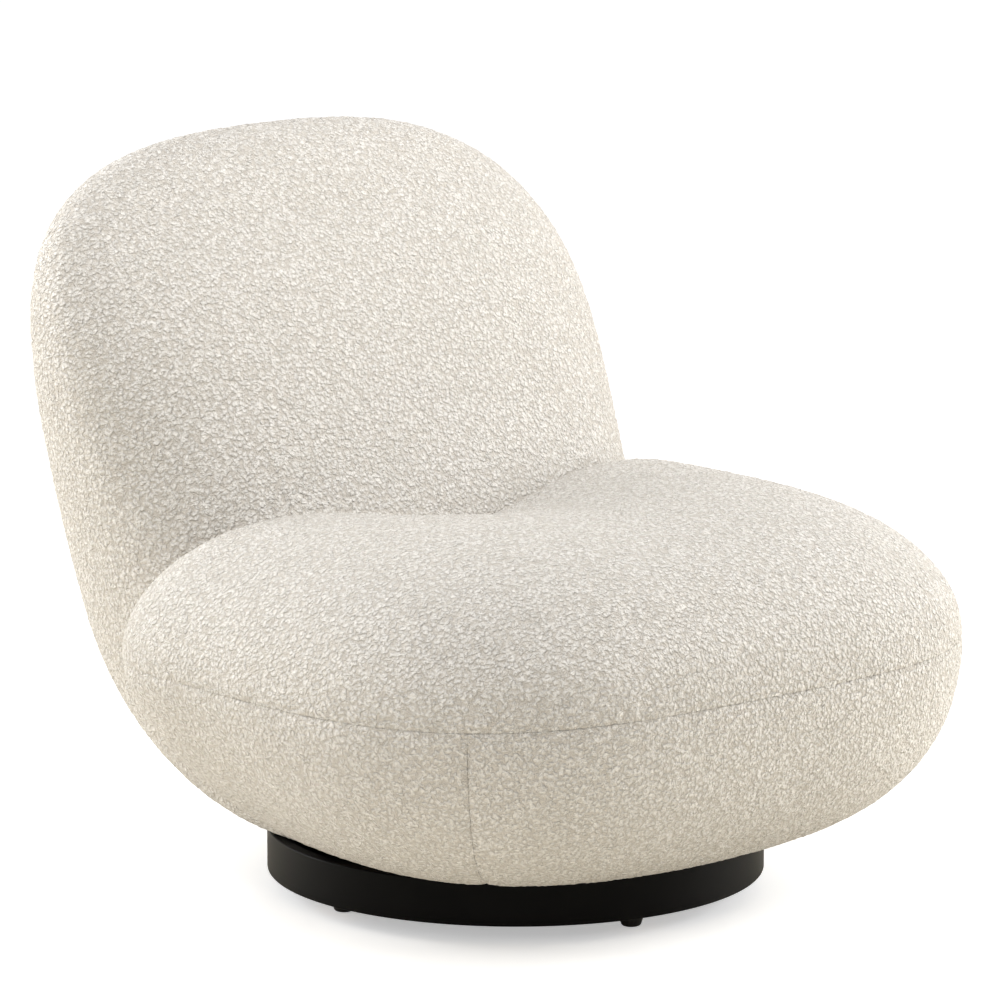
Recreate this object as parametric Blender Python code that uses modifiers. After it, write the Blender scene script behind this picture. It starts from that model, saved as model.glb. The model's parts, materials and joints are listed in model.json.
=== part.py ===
"""Armless swivel lounge chair: padded seat and back on a low round base.

The chair faces -Y and stands on z = 0. Everything is built round the swivel axis and hung on
three empties that lie on it: the base stands still, the seat turns, and the ball cage follows
at half the seat's speed. Sizes are metres.
"""

import math

import bmesh
import bpy
from mathutils import Vector

# Round base
BASE_RADIUS = 0.250
BASE_WALL = 0.012
BASE_BOTTOM_Z = 0.019
BASE_TOP_Z = 0.0625
BASE_EDGE_ROUND = 0.0015
BASE_BOARD_THICKNESS = 0.012
FOOT_BLOCK_SIDE = 0.050
FOOT_BLOCK_HEIGHT = 0.019

# Feet and their screws
FOOT_COUNT = 4
FOOT_INSET = 0.045
FOOT_TURN = math.radians(-6.7)
FOOT_TOP_RADIUS = 0.0145
FOOT_TIP_RADIUS = 0.0100
FOOT_TIP_ROUND = 0.0030
FOOT_RECESS_RADIUS = 0.0045
FOOT_RECESS_DEPTH = 0.0080
FOOT_SCREW_RADIUS = 0.0019
FOOT_SCREW_HEAD_RADIUS = 0.0040
FOOT_SCREW_HEAD_HEIGHT = 0.0025
FOOT_SCREW_GRIP = 0.0140

# Swivel
PLATE_SIDE = 0.200
PLATE_CORNER = 0.012
PLATE_THICKNESS = 0.0025
PLATE_BOLT_OFFSET = 0.083
BALL_RADIUS = 0.0037
BALL_COUNT = 8
BALL_CIRCLE_RADIUS = 0.058
CAGE_WIDTH = 0.016
CAGE_THICKNESS = 0.0020
HUB_RADIUS = 0.0100
HUB_FLANGE_RADIUS = 0.0160
HUB_FLANGE_THICKNESS = 0.0030
NUT_RADIUS = 0.0165
NUT_HEIGHT = 0.0080
NUT_CLEARANCE = 0.0040
BOLT_RADIUS = 0.0030
BOLT_HEAD_RADIUS = 0.0060
BOLT_HEAD_HEIGHT = 0.0025
BOLT_GRIP = 0.0095

# Seat form, measured from the swivel axis
SEAT_HALF_WIDTH = 0.4015
SEAT_FRONT_REACH = 0.383
SEAT_REAR_REACH = 0.197
SEAT_FRONT_SQUARENESS = 3.2
SEAT_REAR_SQUARENESS = 5.3
SEAT_SEAM_Z = 0.2585
SEAT_CROWN_Z = 0.4215
SEAT_SIDE_BULGE = 1.44
SEAT_FRONT_EXTRA_BULGE = 0.60
SEAT_CORNER_EXTRA_BULGE = 0.33
SEAT_LEAST_BULGE = 1.15
SEAT_UPPER_BULGE = 2.3
SEAT_DIP_DEPTH = 0.081
SEAT_DIP_HALF_WIDTH = 0.1685
SEAT_DIP_START_Y = -0.017
SEAT_DIP_FADE = 0.086
HEM_INSET = 0.0086
HEM_REAR_INSET = 0.025
HEM_REAR_RISE = 0.010
HEM_RISE_POWER = 0.67
RUNNING_GAP = 0.003
BAND_SEAM_ANGLE = math.radians(45)
BAND_END_ANGLE = math.radians(45)

# Back form, measured from the swivel axis
CHAIR_HEIGHT = 0.726
BACK_HALF_WIDTH = 0.340
BACK_REAR_REACH = 0.4505
BACK_WIDEST_DROP = 0.231
BACK_DEEPEST_Z = 0.260
BACK_TOP_FORWARD = 0.0405
BACK_FACE_Y = 0.040
BACK_FACE_Z = 0.300
BACK_FACE_TOP_Y = 0.31775
BACK_FACE_CURVE = 0.036
BACK_FACE_CURVE_SPAN = 0.350
BACK_SHOULDER_DROP = 0.228
BACK_ROUNDNESS = 2.38
BACK_HEM_INSET = 0.027
BACK_SIDE_SWELL = 1.48
BACK_REAR_SWELL = 2.09
BACK_SIDE_CROWN = 2.73
BACK_REAR_CROWN = 2.56
BACK_FACE_CROWN = 2.22
PANEL_SIDE_INSET = 0.090
PANEL_DEPTH = 0.083
PANEL_TOP_PADDING = 0.078

# Upholstery and frame
COVER_THICKNESS = 0.003
DUST_COVER_THICKNESS = 0.001
DUST_COVER_HOLE_RADIUS = 0.144
SEAT_BOARD_INSET = 0.035
SEAT_BOARD_THICKNESS = 0.012
RAIL_THICKNESS = 0.022
RAIL_HEIGHT = 0.094
FRAME_INSET = 0.100
REAR_RAIL_HEIGHT = 0.040
POST_DEPTH = 0.040
REAR_PADDING = 0.103
TOP_PADDING = 0.098
TOP_RAIL_HEIGHT = 0.025
SPRING_COUNT = 4
SPRING_SIDE_ROOM = 0.0132
SPRING_WIRE_RADIUS = 0.0018
SPRING_HALF_SWING = 0.020
SPRING_WAVES = 7
SPRING_CROWN = 0.012
PAD_THICKNESS = 0.006
WEB_THICKNESS = 0.0014
WEB_HEIGHT = 0.050
WEB_HEIGHTS_Z = (0.330, 0.470)

# Fits
GAP = 0.0003
PADDING_GAP = 0.0008
HOLE_CLEARANCE = 0.0003
CUT_OVERRUN = 0.012
AROUND = 40
PROFILE_STEPS = 8
BACK_STEPS = 15
CROWN_END_TURN = math.radians(88.5)
BACK_TOP_FLAT = 0.0008

# Worked out from the sizes above
SEAM_GAP = COVER_THICKNESS * 0.6
AXIS_Y = (SEAT_FRONT_REACH - BACK_REAR_REACH) / 2
FOOT_CIRCLE_RADIUS = BASE_RADIUS - FOOT_INSET
SEAT_BOARD_RADIUS = BASE_RADIUS - SEAT_BOARD_INSET
HEM_RADIUS = BASE_RADIUS - HEM_INSET
HEM_REAR_REACH = BASE_RADIUS - HEM_REAR_INSET
BACK_HEM_RADIUS = BASE_RADIUS - BACK_HEM_INSET
BACK_TOP_Y = BACK_REAR_REACH - BACK_TOP_FORWARD
BACK_WIDEST_Z = CHAIR_HEIGHT - BACK_WIDEST_DROP
BACK_SHOULDER_Z = CHAIR_HEIGHT - BACK_SHOULDER_DROP
BACK_FACE_LEAN = (BACK_FACE_TOP_Y - BACK_FACE_Y) / (CHAIR_HEIGHT - BACK_FACE_Z)
FRAME_HALF_WIDTH = BASE_RADIUS - FRAME_INSET
FRAME_FRONT_REACH = BASE_RADIUS - FRAME_INSET
BASE_BOARD_BOTTOM_Z = BASE_BOTTOM_Z + FOOT_BLOCK_HEIGHT + GAP
BASE_BOARD_TOP_Z = BASE_BOARD_BOTTOM_Z + BASE_BOARD_THICKNESS
LOWER_PLATE_BOTTOM_Z = BASE_BOARD_TOP_Z + GAP
LOWER_PLATE_TOP_Z = LOWER_PLATE_BOTTOM_Z + PLATE_THICKNESS
BALL_Z = LOWER_PLATE_TOP_Z + GAP + BALL_RADIUS
UPPER_PLATE_BOTTOM_Z = BALL_Z + BALL_RADIUS + GAP
UPPER_PLATE_TOP_Z = UPPER_PLATE_BOTTOM_Z + PLATE_THICKNESS
SEAT_BOARD_BOTTOM_Z = UPPER_PLATE_TOP_Z + GAP
SEAT_BOARD_TOP_Z = SEAT_BOARD_BOTTOM_Z + SEAT_BOARD_THICKNESS
HEM_Z = BASE_TOP_Z + RUNNING_GAP
FOAM_BOTTOM_Z = SEAT_BOARD_BOTTOM_Z
RAIL_BOTTOM_Z = SEAT_BOARD_TOP_Z + GAP
RAIL_TOP_Z = RAIL_BOTTOM_Z + RAIL_HEIGHT
FRAME_REAR_Y = BACK_REAR_REACH - REAR_PADDING
POST_FRONT_Y = FRAME_REAR_Y - POST_DEPTH
REAR_RAIL_BOTTOM_Z = RAIL_TOP_Z - REAR_RAIL_HEIGHT
FRAME_TOP_Z = CHAIR_HEIGHT - TOP_PADDING
SPRING_Z = RAIL_TOP_Z + GAP + SPRING_WIRE_RADIUS
OUTER_SPRING_X = (
    FRAME_HALF_WIDTH - RAIL_THICKNESS - SPRING_SIDE_ROOM - SPRING_HALF_SWING - SPRING_WIRE_RADIUS
)
SPRING_PITCH = 2 * OUTER_SPRING_X / (SPRING_COUNT - 1)
PAD_BOTTOM_Z = SPRING_Z + SPRING_CROWN + SPRING_WIRE_RADIUS + GAP
POCKET_TOP_Z = PAD_BOTTOM_Z + PAD_THICKNESS + GAP
SPLIT_Y = POST_FRONT_Y - WEB_THICKNESS - 2 * GAP
FOAM_INSET = COVER_THICKNESS + PADDING_GAP
PANEL_HALF_WIDTH = BACK_HALF_WIDTH - PANEL_SIDE_INSET
PANEL_FRONT_Y = BACK_REAR_REACH - PANEL_DEPTH
PANEL_TOP_Z = CHAIR_HEIGHT - PANEL_TOP_PADDING


# Scene, materials and general shapes


def clear_scene():
    for thing in list(bpy.data.objects):
        bpy.data.objects.remove(thing, do_unlink=True)


def new_collection(name, hidden=False):
    collection = bpy.data.collections.new(name)
    bpy.context.scene.collection.children.link(collection)
    collection.hide_render = hidden
    return collection


def material(name, colour, roughness, metallic=0.0):
    made = bpy.data.materials.new(name)
    made.use_nodes = True
    shader = made.node_tree.nodes["Principled BSDF"]
    shader.inputs["Base Color"].default_value = (*colour, 1.0)
    shader.inputs["Roughness"].default_value = roughness
    shader.inputs["Metallic"].default_value = metallic
    return made


def pivot(name):
    """An empty on the swivel axis, which carries one body's pieces."""
    empty = bpy.data.objects.new(name, None)
    empty.location = (0, AXIS_Y, 0)
    chair.objects.link(empty)
    return empty


def add(name, data, parent, finish=None):
    """A new object from mesh or curve data, in the swivel axis's frame."""
    thing = bpy.data.objects.new(name, data)
    thing.parent = parent
    if finish is None:
        cutters.objects.link(thing)
        thing.hide_render = True
        thing.display_type = "WIRE"
    else:
        chair.objects.link(thing)
        data.materials.append(finish)
    return thing


def mesh_from(bm, name, smooth_angle=None):
    bmesh.ops.recalc_face_normals(bm, faces=bm.faces)
    mesh = bpy.data.meshes.new(name)
    bm.to_mesh(mesh)
    bm.free()
    if smooth_angle is not None:
        mesh.shade_smooth()
        mesh.set_sharp_from_angle(angle=math.radians(smooth_angle))
    return mesh


def cut(thing, cutter, operation="DIFFERENCE"):
    modifier = thing.modifiers.new("cut " + cutter.name, "BOOLEAN")
    modifier.operation = operation
    modifier.solver = "EXACT"
    modifier.object = cutter


def box_mesh(name, low, high):
    bm = bmesh.new()
    bmesh.ops.create_cube(bm, size=1.0)
    low, high = Vector(low), Vector(high)
    for vertex in bm.verts:
        vertex.co = (low + high) / 2 + vertex.co * (high - low)
    return mesh_from(bm, name)


def box(name, low, high, parent, finish=None):
    return add(name, box_mesh(name, low, high), parent, finish)


def cylinder(name, radius, low_z, high_z, parent, finish=None, sides=48, centre=(0, 0)):
    bm = bmesh.new()
    bmesh.ops.create_cone(
        bm, cap_ends=True, segments=sides, radius1=radius, radius2=radius, depth=high_z - low_z
    )
    bmesh.ops.translate(bm, verts=bm.verts, vec=(*centre, (low_z + high_z) / 2))
    return add(name, mesh_from(bm, name, 40), parent, finish)


def turned(name, profile, parent, finish, sides=24, closed=False, location=(0, 0, 0)):
    """A profile of (radius, z) points, down the outer side, turned about its own vertical axis."""
    count = len(profile)
    edges = [(i, i + 1) for i in range(count - 1)]
    if closed:
        edges.append((count - 1, 0))
    mesh = bpy.data.meshes.new(name)
    mesh.from_pydata([(radius, 0, z) for radius, z in profile], edges, [])
    thing = add(name, mesh, parent, finish)
    thing.location = location
    screw = thing.modifiers.new("turn", "SCREW")
    screw.axis = "Z"
    screw.angle = math.tau
    screw.steps = sides
    screw.render_steps = sides
    screw.use_smooth_shade = True
    screw.use_merge_vertices = True
    screw.merge_threshold = 0.00001
    return thing


def on_circle(radius, angle):
    return radius * math.cos(angle), radius * math.sin(angle)


def spread(count, start=0.0):
    return [start + math.tau * i / count for i in range(count)]


# The two upholstered forms


def ring_radius(angle, power):
    """The distance from the centre to a unit superellipse in one direction."""
    return (abs(math.cos(angle)) ** power + abs(math.sin(angle)) ** power) ** (-1 / power)


def seat_outline(angle):
    front = math.sin(angle) < 0
    reach = SEAT_FRONT_REACH if front else SEAT_REAR_REACH
    radius = ring_radius(angle, SEAT_FRONT_SQUARENESS if front else SEAT_REAR_SQUARENESS)
    return Vector((SEAT_HALF_WIDTH * math.cos(angle), reach * math.sin(angle))) * radius


def seat_hem(angle):
    reach = HEM_RADIUS if math.sin(angle) < 0 else HEM_REAR_REACH
    rise = HEM_REAR_RISE * ((1 + math.sin(angle)) / 2) ** HEM_RISE_POWER
    return Vector((HEM_RADIUS * math.cos(angle), reach * math.sin(angle), HEM_Z + rise))


def lower_bulge(angle):
    """How full the underside is: most at the front corners, least at the rear."""
    bulge = SEAT_SIDE_BULGE - SEAT_FRONT_EXTRA_BULGE * math.sin(angle)
    return max(SEAT_LEAST_BULGE, bulge + SEAT_CORNER_EXTRA_BULGE * math.sin(2 * angle) ** 2)


def seat_lower(angle, turn, rise=0.0):
    """A point below the seam: turn runs from 0 at the hem to a right angle at the seam."""
    hem, bulge = seat_hem(angle), lower_bulge(angle)
    flat = hem.xy.lerp(seat_outline(angle), math.sin(turn) ** (2 / bulge))
    lift = 1 - math.cos(turn) ** (2 / bulge)
    return Vector((*flat, hem.z + (SEAT_SEAM_Z - rise - hem.z) * lift))


def seat_upper(angle, turn, rise=0.0):
    """A point above the seam: turn runs from 0 at the seam to a right angle at the middle."""
    flat = seat_outline(angle) * math.cos(turn) ** (2 / SEAT_UPPER_BULGE)
    crown = math.sin(turn) ** (2 / SEAT_UPPER_BULGE)
    dip = SEAT_DIP_DEPTH * math.exp(-((flat.x / SEAT_DIP_HALF_WIDTH) ** 2))
    dip /= 1 + math.exp(-(flat.y - SEAT_DIP_START_Y) / SEAT_DIP_FADE)
    height = SEAT_SEAM_Z + rise + (SEAT_CROWN_Z - SEAT_SEAM_Z - rise) * crown
    return Vector((*flat, height - dip * math.sin(turn) ** 2))


def swell(z, widest_z, at_hem, at_widest, power):
    share = max(0.0, (widest_z - z) / (widest_z - HEM_Z))
    return at_hem + (at_widest - at_hem) * (1 - share**power) ** (1 / power)


def crown(z, from_z, at_widest, at_top, power):
    share = min(1.0, max(0.0, (z - from_z) / (CHAIR_HEIGHT - from_z)))
    return at_top + (at_widest - at_top) * (1 - share**power) ** (1 / power)


def back_point(angle, z):
    """A point of the back's form: 0 is its left side, a right angle is its rear."""
    if z < BACK_WIDEST_Z:
        half = swell(z, BACK_WIDEST_Z, BACK_HEM_RADIUS, BACK_HALF_WIDTH, BACK_SIDE_SWELL)
    else:
        half = crown(z, BACK_WIDEST_Z, BACK_HALF_WIDTH, 0.0, BACK_SIDE_CROWN)
    if z < BACK_DEEPEST_Z:
        rear = swell(z, BACK_DEEPEST_Z, BACK_HEM_RADIUS, BACK_REAR_REACH, BACK_REAR_SWELL)
    else:
        rear = crown(z, BACK_DEEPEST_Z, BACK_REAR_REACH, BACK_TOP_Y, BACK_REAR_CROWN)
    above = z - BACK_FACE_Z
    face = BACK_FACE_Y + BACK_FACE_LEAN * above
    face += BACK_FACE_CURVE * above * (above - BACK_FACE_CURVE_SPAN)
    front = crown(z, BACK_SHOULDER_Z, min(face, BACK_TOP_Y), BACK_TOP_Y, BACK_FACE_CROWN)
    middle, depth = (rear + front) / 2, (rear - front) / 2
    radius = ring_radius(angle, BACK_ROUNDNESS)
    return Vector((half * math.cos(angle) * radius, middle + depth * math.sin(angle) * radius, z))


def back_heights(low_z):
    """Heights up the back, closer together towards the hem and the top."""
    top_z = CHAIR_HEIGHT - BACK_TOP_FLAT
    steps = [(1 - math.cos(math.pi * i / BACK_STEPS)) / 2 for i in range(BACK_STEPS + 1)]
    return [low_z + (top_z - low_z) * step for step in steps]


def padded_body(rings, inset):
    """A closed body through rings with the same number of points, drawn in by the inset.

    The flat underside is added last, so that the sides stay parallel to the cover over them.
    """
    bm = bmesh.new()
    rows = [[bm.verts.new(point) for point in ring] for ring in rings]
    for low, high in zip(rows, rows[1:]):
        for i in range(len(low)):
            j = (i + 1) % len(low)
            bm.faces.new((low[i], low[j], high[j], high[i]))
    bm.faces.new(rows[-1])
    bmesh.ops.triangulate(bm, faces=bm.faces, quad_method="FIXED")
    pull_in(bm, inset)
    bm.faces.new(reversed(rows[0]))
    return bm


def pull_in(bm, distance):
    """Moves every point inwards along its normal; a negative distance moves it out."""
    bm.normal_update()
    moved = [(vertex, vertex.co - vertex.normal * distance) for vertex in bm.verts]
    for vertex, place in moved:
        vertex.co = place


def keep_side(bm, point, normal):
    """Cuts the body flat at a plane and keeps what the normal points to."""
    geometry = bm.verts[:] + bm.edges[:] + bm.faces[:]
    cut_edges = bmesh.ops.bisect_plane(
        bm, geom=geometry, plane_co=point, plane_no=normal, clear_inner=True
    )["geom_cut"]
    edges = [item for item in cut_edges if isinstance(item, bmesh.types.BMEdge)]
    bmesh.ops.holes_fill(bm, edges=edges)


def quarter_turns():
    return [math.pi / 2 * i / PROFILE_STEPS for i in range(PROFILE_STEPS + 1)]


def crown_turns():
    """From the seam to a small flat at the middle of the seat."""
    return quarter_turns()[:-1] + [CROWN_END_TURN]


def seat_form(inset, room_below=0.0):
    """The seat's whole body; room_below carries its underside down past the hem."""
    angles = spread(AROUND)
    rings = [[seat_lower(angle, turn) for angle in angles] for turn in quarter_turns()]
    rings += [[seat_upper(angle, turn) for angle in angles] for turn in crown_turns()[1:]]
    if room_below:
        rings.insert(0, [point - Vector((0, 0, room_below)) for point in rings[0]])
    return padded_body(rings, inset)


def back_rows():
    return [[back_point(angle, z) for angle in spread(AROUND)] for z in back_heights(HEM_Z)]


def skin(name, rows, parent, finish, wraps=False):
    """An open sheet through rows of points, thickened inwards."""
    bm = bmesh.new()
    grid = [[bm.verts.new(point) for point in row] for row in rows]
    for low, high in zip(grid, grid[1:]):
        for i in range(len(low) if wraps else len(low) - 1):
            j = (i + 1) % len(low)
            bm.faces.new((low[i], low[j], high[j], high[i]))
    if wraps:
        bm.faces.new(grid[-1])
    bmesh.ops.triangulate(bm, faces=bm.faces, quad_method="FIXED")
    mesh = bpy.data.meshes.new(name)
    bm.to_mesh(mesh)
    bm.free()
    mesh.shade_smooth()
    thing = add(name, mesh, parent, finish)
    solidify = thing.modifiers.new("thickness", "SOLIDIFY")
    solidify.thickness = COVER_THICKNESS
    solidify.offset = -1.0
    return thing


# Base: stands on the floor and never turns


def make_base():
    wall_inside = BASE_RADIUS - BASE_WALL
    profile = [
        (BASE_RADIUS - BASE_EDGE_ROUND, BASE_TOP_Z),
        (BASE_RADIUS, BASE_TOP_Z - BASE_EDGE_ROUND),
        (BASE_RADIUS, BASE_BOTTOM_Z + BASE_EDGE_ROUND),
        (BASE_RADIUS - BASE_EDGE_ROUND, BASE_BOTTOM_Z),
        (wall_inside, BASE_BOTTOM_Z),
        (wall_inside, BASE_TOP_Z),
    ]
    turned("base_ring", profile, base, black_paint, sides=56, closed=True)
    board = cylinder(
        "base_board",
        wall_inside - GAP,
        BASE_BOARD_BOTTOM_Z,
        BASE_BOARD_TOP_Z,
        base,
        plywood,
        sides=56,
    )
    hub_hole = cylinder(
        "hub_flange_hole",
        HUB_FLANGE_RADIUS + HOLE_CLEARANCE,
        BASE_BOARD_BOTTOM_Z - CUT_OVERRUN,
        BASE_BOARD_TOP_Z + CUT_OVERRUN,
        base,
    )
    cut(board, hub_hole)
    for number, angle in enumerate(spread(FOOT_COUNT, FOOT_TURN - math.pi / 2), 1):
        make_foot(number, angle)
    return board


def make_foot(number, angle):
    x, y = on_circle(FOOT_CIRCLE_RADIUS, angle)
    half = FOOT_BLOCK_SIDE / 2
    block = box(
        f"foot_block_{number}",
        (-half, -half, BASE_BOTTOM_Z),
        (half, half, BASE_BOTTOM_Z + FOOT_BLOCK_HEIGHT),
        base,
        softwood,
    )
    block.location = (x, y, 0)
    block.rotation_euler.z = angle
    hole_radius = FOOT_SCREW_RADIUS + HOLE_CLEARANCE
    pilot = cylinder(
        f"foot_pilot_hole_{number}",
        hole_radius,
        0,
        BASE_BOTTOM_Z + FOOT_BLOCK_HEIGHT + CUT_OVERRUN,
        base,
        sides=12,
        centre=(x, y),
    )
    cut(block, pilot)
    foot_top = BASE_BOTTOM_Z - GAP
    foot_profile = [
        (FOOT_TOP_RADIUS, foot_top),
        (FOOT_TOP_RADIUS, foot_top - FOOT_TIP_ROUND),
        (FOOT_TIP_RADIUS, FOOT_TIP_ROUND),
        (FOOT_TIP_RADIUS - FOOT_TIP_ROUND * 0.3, FOOT_TIP_ROUND * 0.3),
        (FOOT_TIP_RADIUS - FOOT_TIP_ROUND, 0),
        (FOOT_RECESS_RADIUS, 0),
        (FOOT_RECESS_RADIUS, FOOT_RECESS_DEPTH),
        (hole_radius, FOOT_RECESS_DEPTH),
        (hole_radius, foot_top),
    ]
    turned(
        f"foot_{number}", foot_profile, base, foot_plastic, sides=16, closed=True,
        location=(x, y, 0),
    )
    head_top = FOOT_RECESS_DEPTH - GAP
    screw_profile = [
        (0, head_top + FOOT_SCREW_GRIP + BASE_BOTTOM_Z - FOOT_RECESS_DEPTH),
        (FOOT_SCREW_RADIUS, head_top + FOOT_SCREW_GRIP + BASE_BOTTOM_Z - FOOT_RECESS_DEPTH),
        (FOOT_SCREW_RADIUS, head_top),
        (FOOT_SCREW_HEAD_RADIUS, head_top),
        (FOOT_SCREW_HEAD_RADIUS, head_top - FOOT_SCREW_HEAD_HEIGHT),
        (0, head_top - FOOT_SCREW_HEAD_HEIGHT),
    ]
    turned(f"foot_screw_{number}", screw_profile, base, steel, sides=10, location=(x, y, 0))


# Swivel: two plates on a ring of balls, held together by a hub


def plate(name, low_z, parent):
    half = PLATE_SIDE / 2
    thing = box(name, (-half, -half, low_z), (half, half, low_z + PLATE_THICKNESS), parent, steel)
    corners = thing.modifiers.new("rounded corners", "BEVEL")
    corners.width = PLATE_CORNER
    corners.segments = 3
    corners.limit_method = "WEIGHT"
    weights = thing.data.attributes.new("bevel_weight_edge", "FLOAT", "EDGE")
    for edge in thing.data.edges:
        start, end = (thing.data.vertices[i].co for i in edge.vertices)
        weights.data[edge.index].value = 1.0 if abs(start.z - end.z) > GAP else 0.0
    return thing


def bolt(name, x, y, head_z, up, parent):
    """A pan head with its flat side at head_z; the shank points up or down from there."""
    sign = 1 if up else -1
    profile = [
        (0, sign * (BOLT_GRIP + PLATE_THICKNESS)),
        (BOLT_RADIUS, sign * (BOLT_GRIP + PLATE_THICKNESS)),
        (BOLT_RADIUS, 0),
        (BOLT_HEAD_RADIUS, 0),
        (BOLT_HEAD_RADIUS, -sign * BOLT_HEAD_HEIGHT * 0.5),
        (BOLT_HEAD_RADIUS * 0.7, -sign * BOLT_HEAD_HEIGHT),
        (0, -sign * BOLT_HEAD_HEIGHT),
    ]
    if not up:
        profile.reverse()
    turned(name, profile, parent, steel, sides=10, location=(x, y, head_z - sign * GAP))


def make_swivel(base_board):
    lower = plate("swivel_lower_plate", LOWER_PLATE_BOTTOM_Z, base)
    upper = plate("swivel_upper_plate", UPPER_PLATE_BOTTOM_Z, seat)
    board = cylinder(
        "seat_board", SEAT_BOARD_RADIUS, SEAT_BOARD_BOTTOM_Z, SEAT_BOARD_TOP_Z, seat, plywood
    )
    hub_way = cylinder("hub_way", HUB_RADIUS + HOLE_CLEARANCE, 0, SEAT_BOARD_TOP_Z, base, sides=24)
    cut(lower, hub_way)
    cut(upper, hub_way)
    nut_way = cylinder("nut_way", NUT_RADIUS + NUT_CLEARANCE, 0, RAIL_TOP_Z, seat, sides=24)
    cut(board, nut_way)
    for number, (x, y) in enumerate(((-1, -1), (1, -1), (1, 1), (-1, 1)), 1):
        x, y = x * PLATE_BOLT_OFFSET, y * PLATE_BOLT_OFFSET
        way = cylinder(
            f"bolt_way_{number}",
            BOLT_RADIUS + HOLE_CLEARANCE,
            BASE_BOARD_BOTTOM_Z - CUT_OVERRUN,
            RAIL_BOTTOM_Z + CUT_OVERRUN,
            base,
            sides=12,
            centre=(x, y),
        )
        for pierced in (lower, upper, base_board, board):
            cut(pierced, way)
        bolt(f"lower_plate_bolt_{number}", x, y, LOWER_PLATE_TOP_Z, False, base)
        bolt(f"upper_plate_bolt_{number}", x, y, UPPER_PLATE_BOTTOM_Z, True, seat)
    flange_top = LOWER_PLATE_BOTTOM_Z - GAP
    stem_top = UPPER_PLATE_TOP_Z + GAP + NUT_HEIGHT + GAP
    hub_profile = [
        (0, stem_top),
        (HUB_RADIUS, stem_top),
        (HUB_RADIUS, flange_top),
        (HUB_FLANGE_RADIUS, flange_top),
        (HUB_FLANGE_RADIUS, flange_top - HUB_FLANGE_THICKNESS),
        (0, flange_top - HUB_FLANGE_THICKNESS),
    ]
    turned("swivel_hub", hub_profile, base, steel, sides=24)
    nut = cylinder(
        "hub_nut",
        NUT_RADIUS,
        UPPER_PLATE_TOP_Z + GAP,
        UPPER_PLATE_TOP_Z + GAP + NUT_HEIGHT,
        base,
        steel,
        sides=6,
    )
    cut(nut, hub_way)


def make_cage():
    inner, outer = BALL_CIRCLE_RADIUS - CAGE_WIDTH / 2, BALL_CIRCLE_RADIUS + CAGE_WIDTH / 2
    low, high = BALL_Z - CAGE_THICKNESS / 2, BALL_Z + CAGE_THICKNESS / 2
    ring = turned(
        "ball_cage",
        [(outer, high), (outer, low), (inner, low), (inner, high)],
        cage,
        brass,
        sides=40,
        closed=True,
    )
    for number, angle in enumerate(spread(BALL_COUNT), 1):
        x, y = on_circle(BALL_CIRCLE_RADIUS, angle)
        seat_hole = cylinder(
            f"ball_hole_{number}", BALL_RADIUS + HOLE_CLEARANCE, low - BALL_RADIUS,
            high + BALL_RADIUS, cage, sides=16, centre=(x, y),
        )
        cut(ring, seat_hole)
        bm = bmesh.new()
        bmesh.ops.create_uvsphere(bm, u_segments=8, v_segments=6, radius=BALL_RADIUS)
        ball = add(f"ball_{number}", mesh_from(bm, f"ball_{number}", 180), cage, steel)
        ball.location = (x, y, BALL_Z)


# Frame of the seat and the back


def side_outline(clearance, low_z, high_z, rear_low_z):
    """The side rail's outline in (y, z); the underside rises behind the seat board."""
    front, rear = -FRAME_FRONT_REACH - clearance, FRAME_REAR_Y + clearance
    heel = SEAT_BOARD_RADIUS - RAIL_THICKNESS
    return [(front, low_z), (heel, low_z), (rear, rear_low_z), (rear, high_z), (front, high_z)]


def outline_curve(name, outline, half_thickness, x, parent, finish=None):
    """A flat (y, z) outline, given its thickness along X."""
    curve = bpy.data.curves.new(name, "CURVE")
    curve.dimensions = "2D"
    curve.fill_mode = "BOTH"
    curve.extrude = half_thickness
    spline = curve.splines.new("POLY")
    spline.points.add(len(outline) - 1)
    for point, (y, z) in zip(spline.points, outline):
        point.co = (y, z, 0, 1)
    spline.use_cyclic_u = True
    thing = add(name, curve, parent, finish)
    thing.location.x = x
    thing.rotation_euler = (math.pi / 2, 0, math.pi / 2)
    return thing


def as_mesh(thing):
    """Turns a curve object into a mesh that can cut, with its caps welded on."""
    bpy.context.view_layer.update()
    graph = bpy.context.evaluated_depsgraph_get()
    mesh = bpy.data.meshes.new_from_object(thing.evaluated_get(graph))
    bm = bmesh.new()
    bm.from_mesh(mesh)
    bmesh.ops.remove_doubles(bm, verts=bm.verts, dist=0.00001)
    bmesh.ops.recalc_face_normals(bm, faces=bm.faces)
    bm.to_mesh(mesh)
    bm.free()
    made = add(thing.name + "_solid", mesh, thing.parent)
    made.location = thing.location
    made.rotation_euler = thing.rotation_euler
    bpy.data.objects.remove(thing, do_unlink=True)
    return made


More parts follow.
